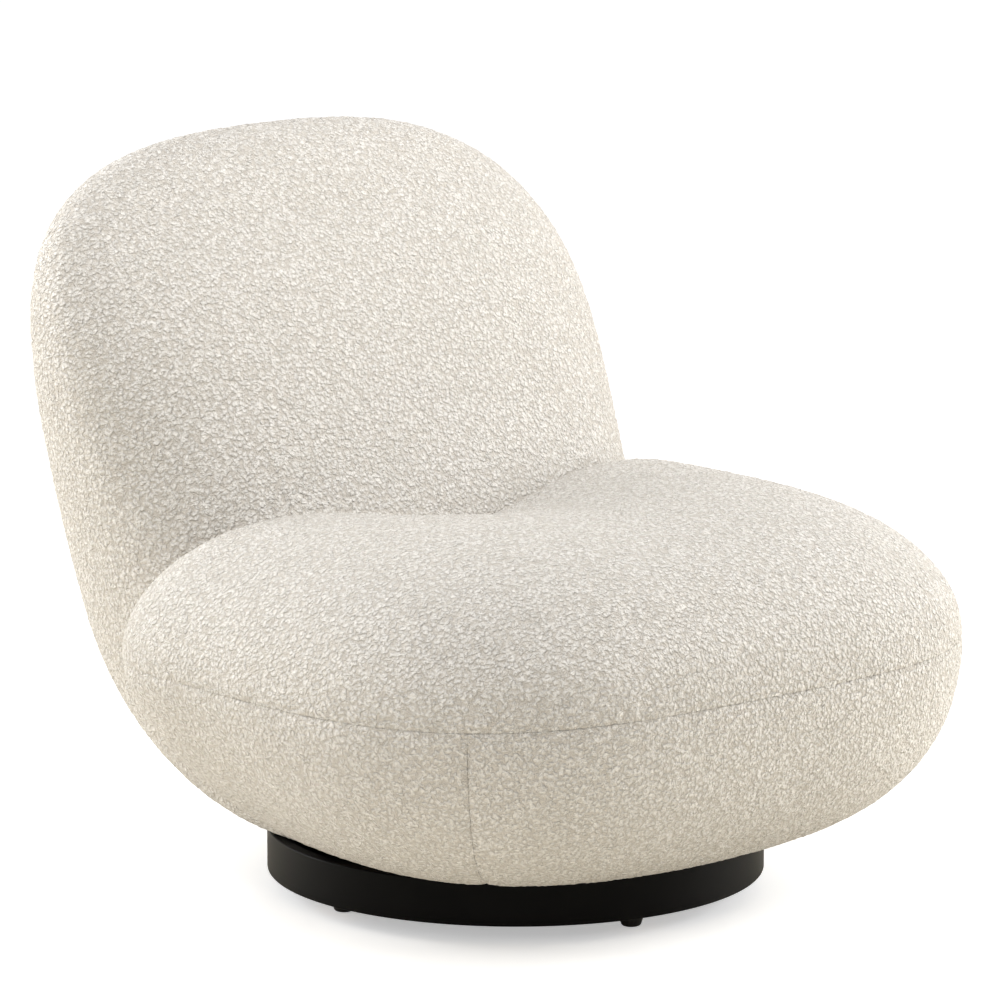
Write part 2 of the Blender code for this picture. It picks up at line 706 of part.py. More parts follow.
def make_frame():
    inner = FRAME_HALF_WIDTH - RAIL_THICKNESS
    outline = side_outline(0, RAIL_BOTTOM_Z, RAIL_TOP_Z, REAR_RAIL_BOTTOM_Z)
    for side, sign in (("left", 1), ("right", -1)):
        x = sign * (FRAME_HALF_WIDTH - RAIL_THICKNESS / 2)
        outline_curve(f"{side}_rail", outline, RAIL_THICKNESS / 2, x, seat, softwood)
        low_x, high_x = sorted((sign * inner, sign * FRAME_HALF_WIDTH))
        box(
            f"{side}_post",
            (low_x, POST_FRONT_Y, RAIL_TOP_Z + GAP),
            (high_x, FRAME_REAR_Y, FRAME_TOP_Z - TOP_RAIL_HEIGHT),
            seat,
            softwood,
        )
    box(
        "front_rail",
        (-inner + GAP, -FRAME_FRONT_REACH, RAIL_BOTTOM_Z),
        (inner - GAP, -FRAME_FRONT_REACH + RAIL_THICKNESS, RAIL_TOP_Z),
        seat,
        softwood,
    )
    box(
        "rear_rail",
        (-inner + GAP, FRAME_REAR_Y - RAIL_THICKNESS, REAR_RAIL_BOTTOM_Z),
        (inner - GAP, FRAME_REAR_Y, RAIL_TOP_Z),
        seat,
        softwood,
    )
    box(
        "top_rail",
        (-FRAME_HALF_WIDTH, POST_FRONT_Y, FRAME_TOP_Z - TOP_RAIL_HEIGHT + GAP),
        (FRAME_HALF_WIDTH, FRAME_REAR_Y, FRAME_TOP_Z),
        seat,
        softwood,
    )
    for number, low_z in enumerate(WEB_HEIGHTS_Z, 1):
        box(
            f"back_web_{number}",
            (-FRAME_HALF_WIDTH, POST_FRONT_Y - GAP - WEB_THICKNESS, low_z),
            (FRAME_HALF_WIDTH, POST_FRONT_Y - GAP, low_z + WEB_HEIGHT),
            seat,
            webbing,
        )
    make_springs()
    front, rear = -FRAME_FRONT_REACH + RAIL_THICKNESS, FRAME_REAR_Y - RAIL_THICKNESS
    box(
        "spring_pad",
        (-inner + GAP, front, PAD_BOTTOM_Z),
        (inner - GAP, rear, PAD_BOTTOM_Z + PAD_THICKNESS),
        seat,
        felt,
    )


def make_springs():
    """Sinuous wire springs from the front rail to the rear rail, arched a little upwards."""
    start = -FRAME_FRONT_REACH + RAIL_THICKNESS / 2
    end = FRAME_REAR_Y - RAIL_THICKNESS / 2
    steps = SPRING_WAVES * 4
    for number in range(SPRING_COUNT):
        middle = SPRING_PITCH * (number - (SPRING_COUNT - 1) / 2)
        points = [(middle, start, SPRING_Z)]
        for i in range(1, steps):
            share = i / steps
            swing = SPRING_HALF_SWING * math.sin(math.tau * SPRING_WAVES * share)
            arch = SPRING_CROWN * math.sin(math.pi * share)
            points.append((middle + swing, start + (end - start) * share, SPRING_Z + arch))
        points.append((middle, end, SPRING_Z))
        curve = bpy.data.curves.new(f"seat_spring_{number + 1}", "CURVE")
        curve.dimensions = "3D"
        curve.bevel_depth = SPRING_WIRE_RADIUS
        curve.bevel_resolution = 1
        curve.use_fill_caps = True
        spline = curve.splines.new("POLY")
        spline.points.add(len(points) - 1)
        for point, place in zip(spline.points, points):
            point.co = (*place, 1)
        add(f"seat_spring_{number + 1}", curve, seat, steel)


# Foam and covers


def make_upholstery():
    outline = side_outline(GAP, 0, POCKET_TOP_Z, REAR_RAIL_BOTTOM_Z - GAP)
    pocket = as_mesh(outline_curve("rail_pocket", outline, FRAME_HALF_WIDTH + GAP, 0, seat))
    board_pocket = cylinder(
        "board_pocket", SEAT_BOARD_RADIUS + GAP, 0, SEAT_BOARD_TOP_Z + GAP, seat
    )
    frame_pocket = box(
        "back_frame_pocket",
        (-FRAME_HALF_WIDTH - GAP, SPLIT_Y - POST_DEPTH / 4, RAIL_TOP_Z - RAIL_THICKNESS),
        (FRAME_HALF_WIDTH + GAP, FRAME_REAR_Y + GAP, FRAME_TOP_Z + GAP),
        seat,
    )
    below_rails = box(
        "below_rails",
        (-FRAME_HALF_WIDTH - 2 * GAP, 0, 0),
        (FRAME_HALF_WIDTH + 2 * GAP, SPLIT_Y + CUT_OVERRUN, REAR_RAIL_BOTTOM_Z),
        seat,
    )
    room = mesh_from(seat_form(-PADDING_GAP, room_below=CUT_OVERRUN), "seat_room")
    seat_room = add("seat_room", room, seat)

    bm = seat_form(FOAM_INSET)
    keep_side(bm, (0, 0, FOAM_BOTTOM_Z), (0, 0, 1))
    seat_foam = add("seat_foam", mesh_from(bm, "seat_foam", 40), seat, foam)
    cut(seat_foam, pocket)
    cut(seat_foam, board_pocket)

    for name, split_y, side in (
        ("back_foam_front", SPLIT_Y, -1),
        ("back_foam_rear", SPLIT_Y + GAP, 1),
    ):
        bm = padded_body(back_rows(), FOAM_INSET)
        keep_side(bm, (0, 0, FOAM_BOTTOM_Z), (0, 0, 1))
        keep_side(bm, (0, split_y, 0), (0, side, 0))
        block = add(name, mesh_from(bm, name, 40), seat, foam)
        cut(block, seat_room)
        cut(block, pocket)
        cut(block, frame_pocket if side > 0 else below_rails)
    make_seat_covers()
    make_back_covers(seat_room)
    dust_top = SEAT_BOARD_BOTTOM_Z - GAP
    dust_profile = [
        (SEAT_BOARD_RADIUS, dust_top),
        (SEAT_BOARD_RADIUS, dust_top - DUST_COVER_THICKNESS),
        (DUST_COVER_HOLE_RADIUS, dust_top - DUST_COVER_THICKNESS),
        (DUST_COVER_HOLE_RADIUS, dust_top),
    ]
    turned("dust_cover", dust_profile, seat, lining, sides=48, closed=True)


def make_seat_covers():
    turns = quarter_turns()
    angles = spread(AROUND)
    rows = [[seat_upper(angle, turn, SEAM_GAP / 2) for angle in angles] for turn in crown_turns()]
    skin("seat_cover", rows, seat, boucle, wraps=True)
    front, end = -math.pi / 2, BAND_END_ANGLE
    half_gap = SEAM_GAP / SEAT_HALF_WIDTH / 2
    right_end = math.pi - end
    spans = {
        "right_band": (right_end - math.tau, front - BAND_SEAM_ANGLE - half_gap),
        "front_band": (front - BAND_SEAM_ANGLE + half_gap, front + BAND_SEAM_ANGLE - half_gap),
        "left_band": (front + BAND_SEAM_ANGLE + half_gap, end),
    }
    for name, (first, last) in spans.items():
        steps = round((last - first) / math.tau * AROUND)
        angles = [first + (last - first) * i / steps for i in range(steps + 1)]
        rows = [[seat_lower(angle, turn, SEAM_GAP / 2) for angle in angles] for turn in turns]
        skin(name, rows, seat, boucle)


def make_back_covers(seat_room):
    """One skin over the back form, with the outer back panel let into it behind."""
    rows = back_rows()
    openings = []
    for name, ease in (("panel_opening", SEAM_GAP / 2), ("panel_outline", -SEAM_GAP / 2)):
        openings.append(
            box(
                name,
                (-PANEL_HALF_WIDTH - ease, PANEL_FRONT_Y - ease, HEM_Z - CUT_OVERRUN),
                (PANEL_HALF_WIDTH + ease, CHAIR_HEIGHT, PANEL_TOP_Z + ease),
                seat,
            )
        )
    wrap = skin("back_cover_front", rows, seat, boucle, wraps=True)
    cut(wrap, openings[0])
    cut(wrap, seat_room)
    panel = skin("back_cover_rear", rows, seat, boucle, wraps=True)
    cut(panel, openings[1], "INTERSECT")


clear_scene()
chair = new_collection("swivel_lounge_chair")
cutters = new_collection("cutters", hidden=True)

black_paint = material("black satin paint", (0.012, 0.012, 0.012), 0.42)
foot_plastic = material("black plastic", (0.010, 0.010, 0.010), 0.25)
plywood = material("plywood", (0.62, 0.46, 0.29), 0.65)
softwood = material("pine", (0.70, 0.53, 0.33), 0.70)
steel = material("zinc plated steel", (0.62, 0.62, 0.60), 0.35, 1.0)
brass = material("pressed brass", (0.72, 0.55, 0.25), 0.40, 1.0)
foam = material("upholstery foam", (0.86, 0.80, 0.62), 0.95)
boucle = material("ivory looped fabric", (0.80, 0.76, 0.68), 0.95)
felt = material("grey felt", (0.35, 0.35, 0.34), 0.95)
webbing = material("elastic webbing", (0.10, 0.10, 0.11), 0.80)
lining = material("black lining", (0.02, 0.02, 0.02), 0.90)

base = pivot("base_axis")
cage = pivot("cage_axis")
seat = pivot("seat_axis")

make_swivel(make_base())
make_cage()
make_frame()
make_upholstery()
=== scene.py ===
"""Looks of the armless swivel lounge chair: looped fabric over a padded seat and back.

The covers are grids laid over the two padded forms, swollen by a cloth simulation between their
seams, and then roughened loop by loop. The drum and its feet are turned again with finer edges.
Everything inside keeps its own solid and only gets a finish. Sizes are metres.
"""

import json
import math

import bmesh
import bpy
import numpy as np
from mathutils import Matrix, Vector
from mathutils.kdtree import KDTree


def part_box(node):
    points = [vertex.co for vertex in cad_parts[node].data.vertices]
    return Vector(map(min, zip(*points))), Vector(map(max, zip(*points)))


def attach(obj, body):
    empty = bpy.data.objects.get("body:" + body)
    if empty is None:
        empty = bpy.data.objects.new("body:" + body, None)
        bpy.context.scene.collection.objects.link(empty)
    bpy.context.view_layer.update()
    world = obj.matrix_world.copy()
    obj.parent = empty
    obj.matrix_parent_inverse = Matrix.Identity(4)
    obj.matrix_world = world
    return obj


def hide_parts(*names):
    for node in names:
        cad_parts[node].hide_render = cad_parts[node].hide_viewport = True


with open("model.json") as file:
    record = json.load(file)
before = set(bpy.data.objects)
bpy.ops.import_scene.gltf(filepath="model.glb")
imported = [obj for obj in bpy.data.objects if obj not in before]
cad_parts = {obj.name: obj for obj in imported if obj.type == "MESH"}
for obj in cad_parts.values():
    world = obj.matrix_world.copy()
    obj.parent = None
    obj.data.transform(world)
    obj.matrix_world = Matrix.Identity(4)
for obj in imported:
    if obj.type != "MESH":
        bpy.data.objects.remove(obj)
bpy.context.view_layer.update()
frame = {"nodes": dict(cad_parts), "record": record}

# Seat form, measured from the swivel axis
SEAT_HALF_WIDTH = 0.4015
SEAT_FRONT_REACH = 0.383
SEAT_REAR_REACH = 0.197
SEAT_FRONT_SQUARENESS = 3.2
SEAT_REAR_SQUARENESS = 5.3
SEAT_SEAM_Z = 0.2585
SEAT_CROWN_Z = 0.4215
SEAT_SIDE_BULGE = 1.44
SEAT_FRONT_EXTRA_BULGE = 0.60
SEAT_CORNER_EXTRA_BULGE = 0.33
SEAT_LEAST_BULGE = 1.15
SEAT_UPPER_BULGE = 2.3
SEAT_DIP_DEPTH = 0.081
SEAT_DIP_HALF_WIDTH = 0.1685
SEAT_DIP_START_Y = -0.017
SEAT_DIP_FADE = 0.086
HEM_Z = 0.0655
HEM_RADIUS = 0.2414
HEM_REAR_REACH = 0.225
HEM_REAR_RISE = 0.010
HEM_RISE_POWER = 0.67

# Back form
CHAIR_HEIGHT = 0.726
BACK_HALF_WIDTH = 0.340
BACK_REAR_REACH = 0.4505
BACK_WIDEST_Z = 0.495
BACK_DEEPEST_Z = 0.260
BACK_TOP_Y = 0.410
BACK_FACE_Y = 0.040
BACK_FACE_Z = 0.300
BACK_FACE_LEAN = 0.652
BACK_FACE_CURVE = 0.036
BACK_FACE_CURVE_SPAN = 0.350
BACK_SHOULDER_Z = 0.498
BACK_ROUNDNESS = 2.38
BACK_HEM_RADIUS = 0.223
BACK_SIDE_SWELL = 1.48
BACK_REAR_SWELL = 2.09
BACK_SIDE_CROWN = 2.73
BACK_REAR_CROWN = 2.56
BACK_FACE_CROWN = 2.22
PANEL_HALF_WIDTH = 0.250
PANEL_TOP_Z = 0.648
PANEL_LOW_Z = 0.130

# Drum and feet
DRUM_RADIUS = 0.250
DRUM_WALL = 0.012
DRUM_BOTTOM_Z = 0.019
DRUM_TOP_Z = 0.0638
DRUM_EDGE = 0.0015
FOOT_TOP_RADIUS = 0.0145
FOOT_TIP_RADIUS = 0.0100
FOOT_TIP_ROUND = 0.0030
FOOT_RECESS_RADIUS = 0.0045
FOOT_RECESS_DEPTH = 0.0080

# Fabric
GRID_STEP = 0.0030
SEAM_STEP = 0.0011
SEAM_FADE = 0.018
SEAM_HALF_GAP = 0.00014
SEAM_TUCK = 0.0050
SEAM_GROOVE = 0.0012
SEAM_GROOVE_WIDTH = 0.0030
SEAM_ROLL = 0.0012
SEAM_ROLL_WIDTH = 0.0110
LOOP_PITCH = 0.0050
LOOP_HEIGHT = 0.0016
SWELL_LEAST = -0.0015
SWELL_MOST = 0.0030
LOOP_MEAN = 0.45
REAR_STEP = 1.6
HIDDEN_DEPTH = 0.014

# Swelling of the padding
SKIN_STEP = 0.006
SWELL_PRESSURE = 4.0
SWELL_FRAMES = 20

# What stays put while the padding swells
PIN_REACH = 0.006
HEM_PIN_HEIGHT = 0.016
PANEL_LEAST_Y = 0.3

# Colours; each pair is blended patch by patch
YARN_SHADOW = (0.60, 0.555, 0.495, 1)
YARN_TOPS = (0.83, 0.795, 0.745, 1), (0.80, 0.765, 0.71, 1)
BLACK_PAINT = (0.0010, 0.0010, 0.0011, 1), (0.0016, 0.0016, 0.0016, 1)
BLACK_PLASTIC = (0.007, 0.007, 0.007, 1), (0.012, 0.012, 0.012, 1)
FLOOR_SEEN = (0.93, 0.93, 0.93, 1), (0.95, 0.95, 0.95, 1)
FLOOR_GLOW = 0.42
FLOOR_BOUNCE = (0.86, 0.81, 0.70, 1)
BIRCH = (0.66, 0.49, 0.31), (0.52, 0.36, 0.21)
PINE = (0.74, 0.56, 0.35), (0.60, 0.42, 0.24)

VECTOR = "NodeSocketVector"
NUMBER = "NodeSocketFloat"

AXIS_Y = frame["record"]["behaviour"]["joints"][0]["pos_m"][1]
CORNER = math.pi / 4


# The two padded forms


def ring_radius(angle, power):
    return (np.abs(np.cos(angle)) ** power + np.abs(np.sin(angle)) ** power) ** (-1 / power)


def seat_outline(angle):
    front = np.sin(angle) < 0
    reach = np.where(front, SEAT_FRONT_REACH, SEAT_REAR_REACH)
    radius = ring_radius(angle, np.where(front, SEAT_FRONT_SQUARENESS, SEAT_REAR_SQUARENESS))
    x = SEAT_HALF_WIDTH * np.cos(angle) * radius
    return x, reach * np.sin(angle) * radius


def seat_hem(angle):
    reach = np.where(np.sin(angle) < 0, HEM_RADIUS, HEM_REAR_REACH)
    rise = HEM_REAR_RISE * ((1 + np.sin(angle)) / 2) ** HEM_RISE_POWER
    return HEM_RADIUS * np.cos(angle), reach * np.sin(angle), HEM_Z + rise


def lower_bulge(angle):
    bulge = SEAT_SIDE_BULGE - SEAT_FRONT_EXTRA_BULGE * np.sin(angle)
    return np.maximum(SEAT_LEAST_BULGE, bulge + SEAT_CORNER_EXTRA_BULGE * np.sin(2 * angle) ** 2)


def seat_lower(angle, turn):
    """The seat below its seam: turn runs from 0 at the hem to a right angle at the seam."""
    bulge = lower_bulge(angle)
    hem_x, hem_y, hem_z = seat_hem(angle)
    out_x, out_y = seat_outline(angle)
    share = np.sin(turn) ** (2 / bulge)
    lift = 1 - np.maximum(0, np.cos(turn)) ** (2 / bulge)
    x = hem_x + (out_x - hem_x) * share
    y = hem_y + (out_y - hem_y) * share
    return np.stack((x, y, hem_z + (SEAT_SEAM_Z - hem_z) * lift), -1)


def seat_upper(angle, turn):
    """The seat above its seam: turn runs from 0 at the seam to a right angle at the middle."""
    out_x, out_y = seat_outline(angle)
    share = np.maximum(0, np.cos(turn)) ** (2 / SEAT_UPPER_BULGE)
    x, y = out_x * share, out_y * share
    rise = np.sin(turn) ** (2 / SEAT_UPPER_BULGE)
    height = SEAT_SEAM_Z + (SEAT_CROWN_Z - SEAT_SEAM_Z) * rise
    return np.stack((x, y, height - seat_dip(x, y) * np.sin(turn) ** 2), -1)


def seat_dip(x, y):
    dip = SEAT_DIP_DEPTH * np.exp(-((x / SEAT_DIP_HALF_WIDTH) ** 2))
    return dip / (1 + np.exp(-(y - SEAT_DIP_START_Y) / SEAT_DIP_FADE))


def swell(z, widest_z, at_hem, at_widest, power):
    share = np.clip((widest_z - z) / (widest_z - HEM_Z), 0, 1)
    return at_hem + (at_widest - at_hem) * (1 - share**power) ** (1 / power)


def crown(z, from_z, at_widest, at_top, power):
    share = np.clip((z - from_z) / (CHAIR_HEIGHT - from_z), 0, 1)
    return at_top + (at_widest - at_top) * (1 - share**power) ** (1 / power)


def back_section(z):
    """Half width, rear and front of the back form at a height."""
    low_half = swell(z, BACK_WIDEST_Z, BACK_HEM_RADIUS, BACK_HALF_WIDTH, BACK_SIDE_SWELL)
    high_half = crown(z, BACK_WIDEST_Z, BACK_HALF_WIDTH, 0.0, BACK_SIDE_CROWN)
    half = np.where(z < BACK_WIDEST_Z, low_half, high_half)
    low_rear = swell(z, BACK_DEEPEST_Z, BACK_HEM_RADIUS, BACK_REAR_REACH, BACK_REAR_SWELL)
    high_rear = crown(z, BACK_DEEPEST_Z, BACK_REAR_REACH, BACK_TOP_Y, BACK_REAR_CROWN)
    rear = np.where(z < BACK_DEEPEST_Z, low_rear, high_rear)
    above = z - BACK_FACE_Z
    face = BACK_FACE_Y + BACK_FACE_LEAN * above
    face = face + BACK_FACE_CURVE * above * (above - BACK_FACE_CURVE_SPAN)
    face = np.minimum(face, BACK_TOP_Y)
    return half, rear, crown(z, BACK_SHOULDER_Z, face, BACK_TOP_Y, BACK_FACE_CROWN)


def back_point(angle, z):
    """0 is the back's left side and a right angle is its rear."""
    half, rear, front = back_section(z)
    radius = ring_radius(angle, BACK_ROUNDNESS)
    x = half * np.cos(angle) * radius
    y = (rear + front) / 2 + (rear - front) / 2 * np.sin(angle) * radius
    return np.stack((x, y, z + 0 * angle), -1)


def inside_back(points, depth):
    half, rear, front = back_section(np.clip(points[..., 2], HEM_Z, CHAIR_HEIGHT - 0.001))
    across = np.abs(points[..., 0]) / np.maximum(half - depth, 0.001)
    through = (points[..., 1] - (rear + front) / 2) / np.maximum((rear - front) / 2 - depth, 0.001)
    return across**BACK_ROUNDNESS + np.abs(through) ** BACK_ROUNDNESS < 1


def inside_seat(points, depth):
    x, y, z = points[..., 0], points[..., 1], points[..., 2]
    out_x, out_y = seat_outline(0.0)[0], np.where(y < 0, SEAT_FRONT_REACH, SEAT_REAR_REACH)
    angle = np.arctan2(y / out_y, x / out_x)
    reach = np.hypot(*seat_outline(angle))
    share = (np.hypot(x, y) + depth) / reach
    flat = np.clip(1 - share**SEAT_UPPER_BULGE, 0, 1)
    top = SEAT_SEAM_Z + (SEAT_CROWN_Z - SEAT_SEAM_Z) * flat ** (1 / SEAT_UPPER_BULGE)
    under_top = (share < 1) & (z < top - seat_dip(x, y) * flat - depth) & (z >= SEAT_SEAM_Z)
    hem_x, hem_y, hem_z = seat_hem(angle)
    bulge = lower_bulge(angle)
    lift = np.clip((z - hem_z) / (SEAT_SEAM_Z - hem_z), 0, 1)
    sine = np.clip(1 - (1 - lift) ** bulge, 0, 1) ** (1 / bulge)
    hem = np.hypot(hem_x, hem_y)
    under_seam = (np.hypot(x, y) + depth < hem + (reach - hem) * sine) & (z < SEAT_SEAM_Z)
    return under_top | under_seam


# Grids over the forms


def graded(length, fine_start, fine_end, coarse=GRID_STEP):
    """Places from 0 to length, closer together at the ends that carry a seam."""
    places = [0.0]
    while places[-1] < length:
        near = min(
            places[-1] if fine_start else 1.0,
            max(0.0, length - places[-1]) if fine_end else 1.0,
        )
        places.append(places[-1] + SEAM_STEP + (coarse - SEAM_STEP) * min(1.0, near / SEAM_FADE))
    places = np.array(places)
    return places * length / places[-1]


def by_length(low, high, lines, fine_start, fine_end, coarse=GRID_STEP):
    """Values from low to high that lie evenly along the lines; lines(values) gives points."""
    ease = np.linspace(0, 1, 6001)
    values = low + (high - low) * (ease - np.sin(math.tau * ease) / math.tau)
    travelled = 0
    for points in lines(values):
        steps = np.linalg.norm(np.diff(points, axis=0), axis=1)
        travelled = np.maximum(travelled, np.concatenate(((0,), np.cumsum(steps))))
    return np.interp(graded(travelled[-1], fine_start, fine_end, coarse), travelled, values)


def joined(*parts):
    return np.concatenate([part[:-1] for part in parts[:-1]] + [parts[-1]])


def grid_normals(points, wraps):
    along = np.gradient(points, axis=0)
    if wraps:
        around = np.roll(points, -1, axis=1) - np.roll(points, 1, axis=1)
    else:
        around = np.gradient(points, axis=1)
    normals = np.cross(around, along)
    return normals / np.maximum(np.linalg.norm(normals, axis=-1, keepdims=True), 1e-12)


def cell_noise(cells, salt):
    """A repeatable number from 0 to 1 for every whole-number cell."""
    x, y, z = (cells[..., i].astype(np.uint64) for i in range(3))
    mixed = x * np.uint64(73856093) ^ y * np.uint64(19349663) ^ z * np.uint64(83492791)
    mixed = (mixed ^ np.uint64(salt * 2654435761)) * np.uint64(6364136223846793005)
    return ((mixed >> np.uint64(33)) & np.uint64(0xFFFFFF)).astype(float) / 0xFFFFFF


def loops(points, pitch):
    """Height of the yarn loops, 0 between them and about 1 on the largest."""
    scaled = points / pitch + 4096.0
    home = np.floor(scaled).astype(np.int64)
    height = np.zeros(points.shape[:-1])
    for step in np.ndindex(3, 3, 3):
        cell = home + np.array(step) - 1
        centre = cell + np.stack([cell_noise(cell, salt) for salt in (1, 2, 3)], -1)
        size = 0.55 + 0.35 * cell_noise(cell, 4)
        away = np.linalg.norm(scaled - centre, axis=-1) / size
        dome = np.sqrt(np.clip(1 - away**2, 0, 1)) * (0.45 + 0.55 * cell_noise(cell, 5))
        height = np.maximum(height, dome)
    return height


def along_rows(points):
    steps = np.linalg.norm(np.diff(points, axis=0), axis=-1)
    return np.concatenate((np.zeros((1, points.shape[1])), np.cumsum(steps, axis=0)))


def along_columns(points):
    steps = np.linalg.norm(np.diff(points, axis=1), axis=-1)
    return np.concatenate((np.zeros((points.shape[0], 1)), np.cumsum(steps, axis=1)), axis=1)


def seam_drop(distance):
    """How far the cover is pulled in beside a seam."""
    roll = SEAM_ROLL * np.exp(-((distance / SEAM_ROLL_WIDTH) ** 2))
    return roll + SEAM_GROOVE * np.exp(-((distance / SEAM_GROOVE_WIDTH) ** 2))


# Cloth simulation of the padding under the covers


def form_object(name, points):
    """A closed coarse body through a grid of rings."""
    bm = bmesh.new()
    rows = [[bm.verts.new(point) for point in ring] for ring in points]
    for low, high in zip(rows, rows[1:]):
        for i in range(len(low)):
            j = (i + 1) % len(low)
            bm.faces.new((low[i], low[j], high[j], high[i]))
    bm.faces.new(rows[-1])
    bm.faces.new(reversed(rows[0]))
    mesh = bpy.data.meshes.new(name)
    bm.to_mesh(mesh)
    bm.free()
    body = bpy.data.objects.new(name, mesh)
    bpy.context.scene.collection.objects.link(body)
    return body


def mesh_points(mesh):
    flat = np.empty(len(mesh.vertices) * 3)
    mesh.vertices.foreach_get("co", flat)
    return flat.reshape(-1, 3)


def simulated_swell(name, points, held):
    """Blows the padded body up between its seams and returns places with their swell."""
    body = form_object(name, points)
    remesh = body.modifiers.new("even skin", "REMESH")
    remesh.mode = "VOXEL"
    remesh.voxel_size = SKIN_STEP
    graph = bpy.context.evaluated_depsgraph_get()
    skin = bpy.data.meshes.new_from_object(body.evaluated_get(graph))
    body.modifiers.clear()
    body.data = skin
    rest = mesh_points(skin)
    normals = np.empty(len(skin.vertices) * 3)
    skin.vertices.foreach_get("normal", normals)
    pins = body.vertex_groups.new(name="seams")
    pins.add([int(i) for i in np.flatnonzero(held(rest))], 1.0, "REPLACE")
    cloth = body.modifiers.new("padding", "CLOTH")
    cloth.settings.vertex_group_mass = "seams"
    cloth.settings.quality = 2
    cloth.settings.use_pressure = True
    cloth.settings.uniform_pressure_force = SWELL_PRESSURE
    cloth.settings.effector_weights.gravity = 0.0
    cloth.settings.tension_stiffness = 25.0
    cloth.settings.compression_stiffness = 25.0
    cloth.settings.shear_stiffness = 10.0
    cloth.settings.bending_stiffness = 2.0
    cloth.point_cache.frame_start = 1
    cloth.point_cache.frame_end = SWELL_FRAMES
    scene = bpy.context.scene
    for number in range(1, SWELL_FRAMES + 1):
        scene.frame_set(number)
    graph = bpy.context.evaluated_depsgraph_get()
    swollen = bpy.data.meshes.new_from_object(body.evaluated_get(graph))
    lift = np.sum((mesh_points(swollen) - rest) * normals.reshape(-1, 3), axis=1)
    scene.frame_set(1)
    bpy.data.objects.remove(body, do_unlink=True)
    return rest, lift


def swell_over(points, sample):
    """The simulated swell at every place of a grid, without its mean."""
    if sample is None:
        return np.zeros(points.shape[:-1])
    rest, lift = sample
    tree = KDTree(len(rest))
    for i, place in enumerate(rest):
        tree.insert(place, i)
    tree.balance()
    flat = points.reshape(-1, 3)
    found = np.empty(len(flat))
    for i, place in enumerate(flat):
        near = tree.find_n(place, 4)
        weights = [1 / (distance + 0.001) for _, _, distance in near]
        total = sum(lift[index] * weight for (_, index, _), weight in zip(near, weights))
        found[i] = total / sum(weights)
    found -= np.median(lift)
    return np.clip(found, SWELL_LEAST, SWELL_MOST).reshape(points.shape[:-1])


# Covers


def tucked(points, normals, sides):
    """Turns the named edges of a panel in, a hair's breadth away from the seam line."""
    for side in sides:
        axis, first = {
            "first_row": (0, True), "last_row": (0, False),
            "first_column": (1, True), "last_column": (1, False),
        }[side]
        points, normals = np.swapaxes(points, 0, axis), np.swapaxes(normals, 0, axis)
        if not first:
            points, normals = points[::-1], normals[::-1]
        inward = points[1] - points[0]
        inward /= np.maximum(np.linalg.norm(inward, axis=-1, keepdims=True), 1e-9)
        points = points.copy()
        points[0] += inward * SEAM_HALF_GAP
        turned_in = points[0] - normals[0] * SEAM_TUCK + inward * SEAM_HALF_GAP
        points = np.concatenate((turned_in[None], points))
        normals = np.concatenate((normals[:1], normals))
        if not first:
            points, normals = points[::-1], normals[::-1]
        points, normals = np.swapaxes(points, 0, axis), np.swapaxes(normals, 0, axis)
    return points


def panel(name, points, hidden=None, wraps=False, close=False):
    """A mesh from a grid of points, without the faces that lie out of sight."""
    rows, columns = points.shape[:2]
    index = np.arange(rows * columns).reshape(rows, columns)
    right = np.roll(index, -1, axis=1) if wraps else index[:, 1:]
    left = index if wraps else index[:, :-1]
    quads = np.stack((left[:-1], right[:-1], right[1:], left[1:]), -1).reshape(-1, 4)
    if hidden is not None:
        quads = quads[~hidden.reshape(-1)[quads].all(axis=1)]
    faces = [tuple(quad) for quad in quads.tolist()]
    places = points.reshape(-1, 3) + (0, AXIS_Y, 0)
    if close:
        places = np.concatenate((places, points[-1].mean(axis=0)[None] + (0, AXIS_Y, 0)))
        last = index[-1].tolist()
        faces += [(a, b, len(places) - 1) for a, b in zip(last, last[1:] + last[:1])]
    mesh = bpy.data.meshes.new(name)
    mesh.from_pydata(places.tolist(), [], faces)
    bm = bmesh.new()
    bm.from_mesh(mesh)
    bmesh.ops.delete(bm, geom=[v for v in bm.verts if not v.link_faces], context="VERTS")
    bm.to_mesh(mesh)
    bm.free()
    mesh.shade_smooth()
    thing = bpy.data.objects.new(name, mesh)
    bpy.context.scene.collection.objects.link(thing)
    return thing


def seat_columns():
    """Column angles, starting and ending on the right front corner seam."""
    def seam_line(angles):
        return [seat_lower(angles, math.pi / 2)]

    start = -3 * CORNER
    spans = []
    for quarter in range(4):
        low = start + quarter * 2 * CORNER
        rear = quarter > 1
        spans.append(
            by_length(
                low, low + 2 * CORNER, seam_line,
                quarter in (0, 1), quarter in (0, 3), GRID_STEP * (REAR_STEP if rear else 1),
            )
        )
    starts = np.cumsum([0] + [len(span) - 1 for span in spans])
    return joined(*spans)[:-1], starts


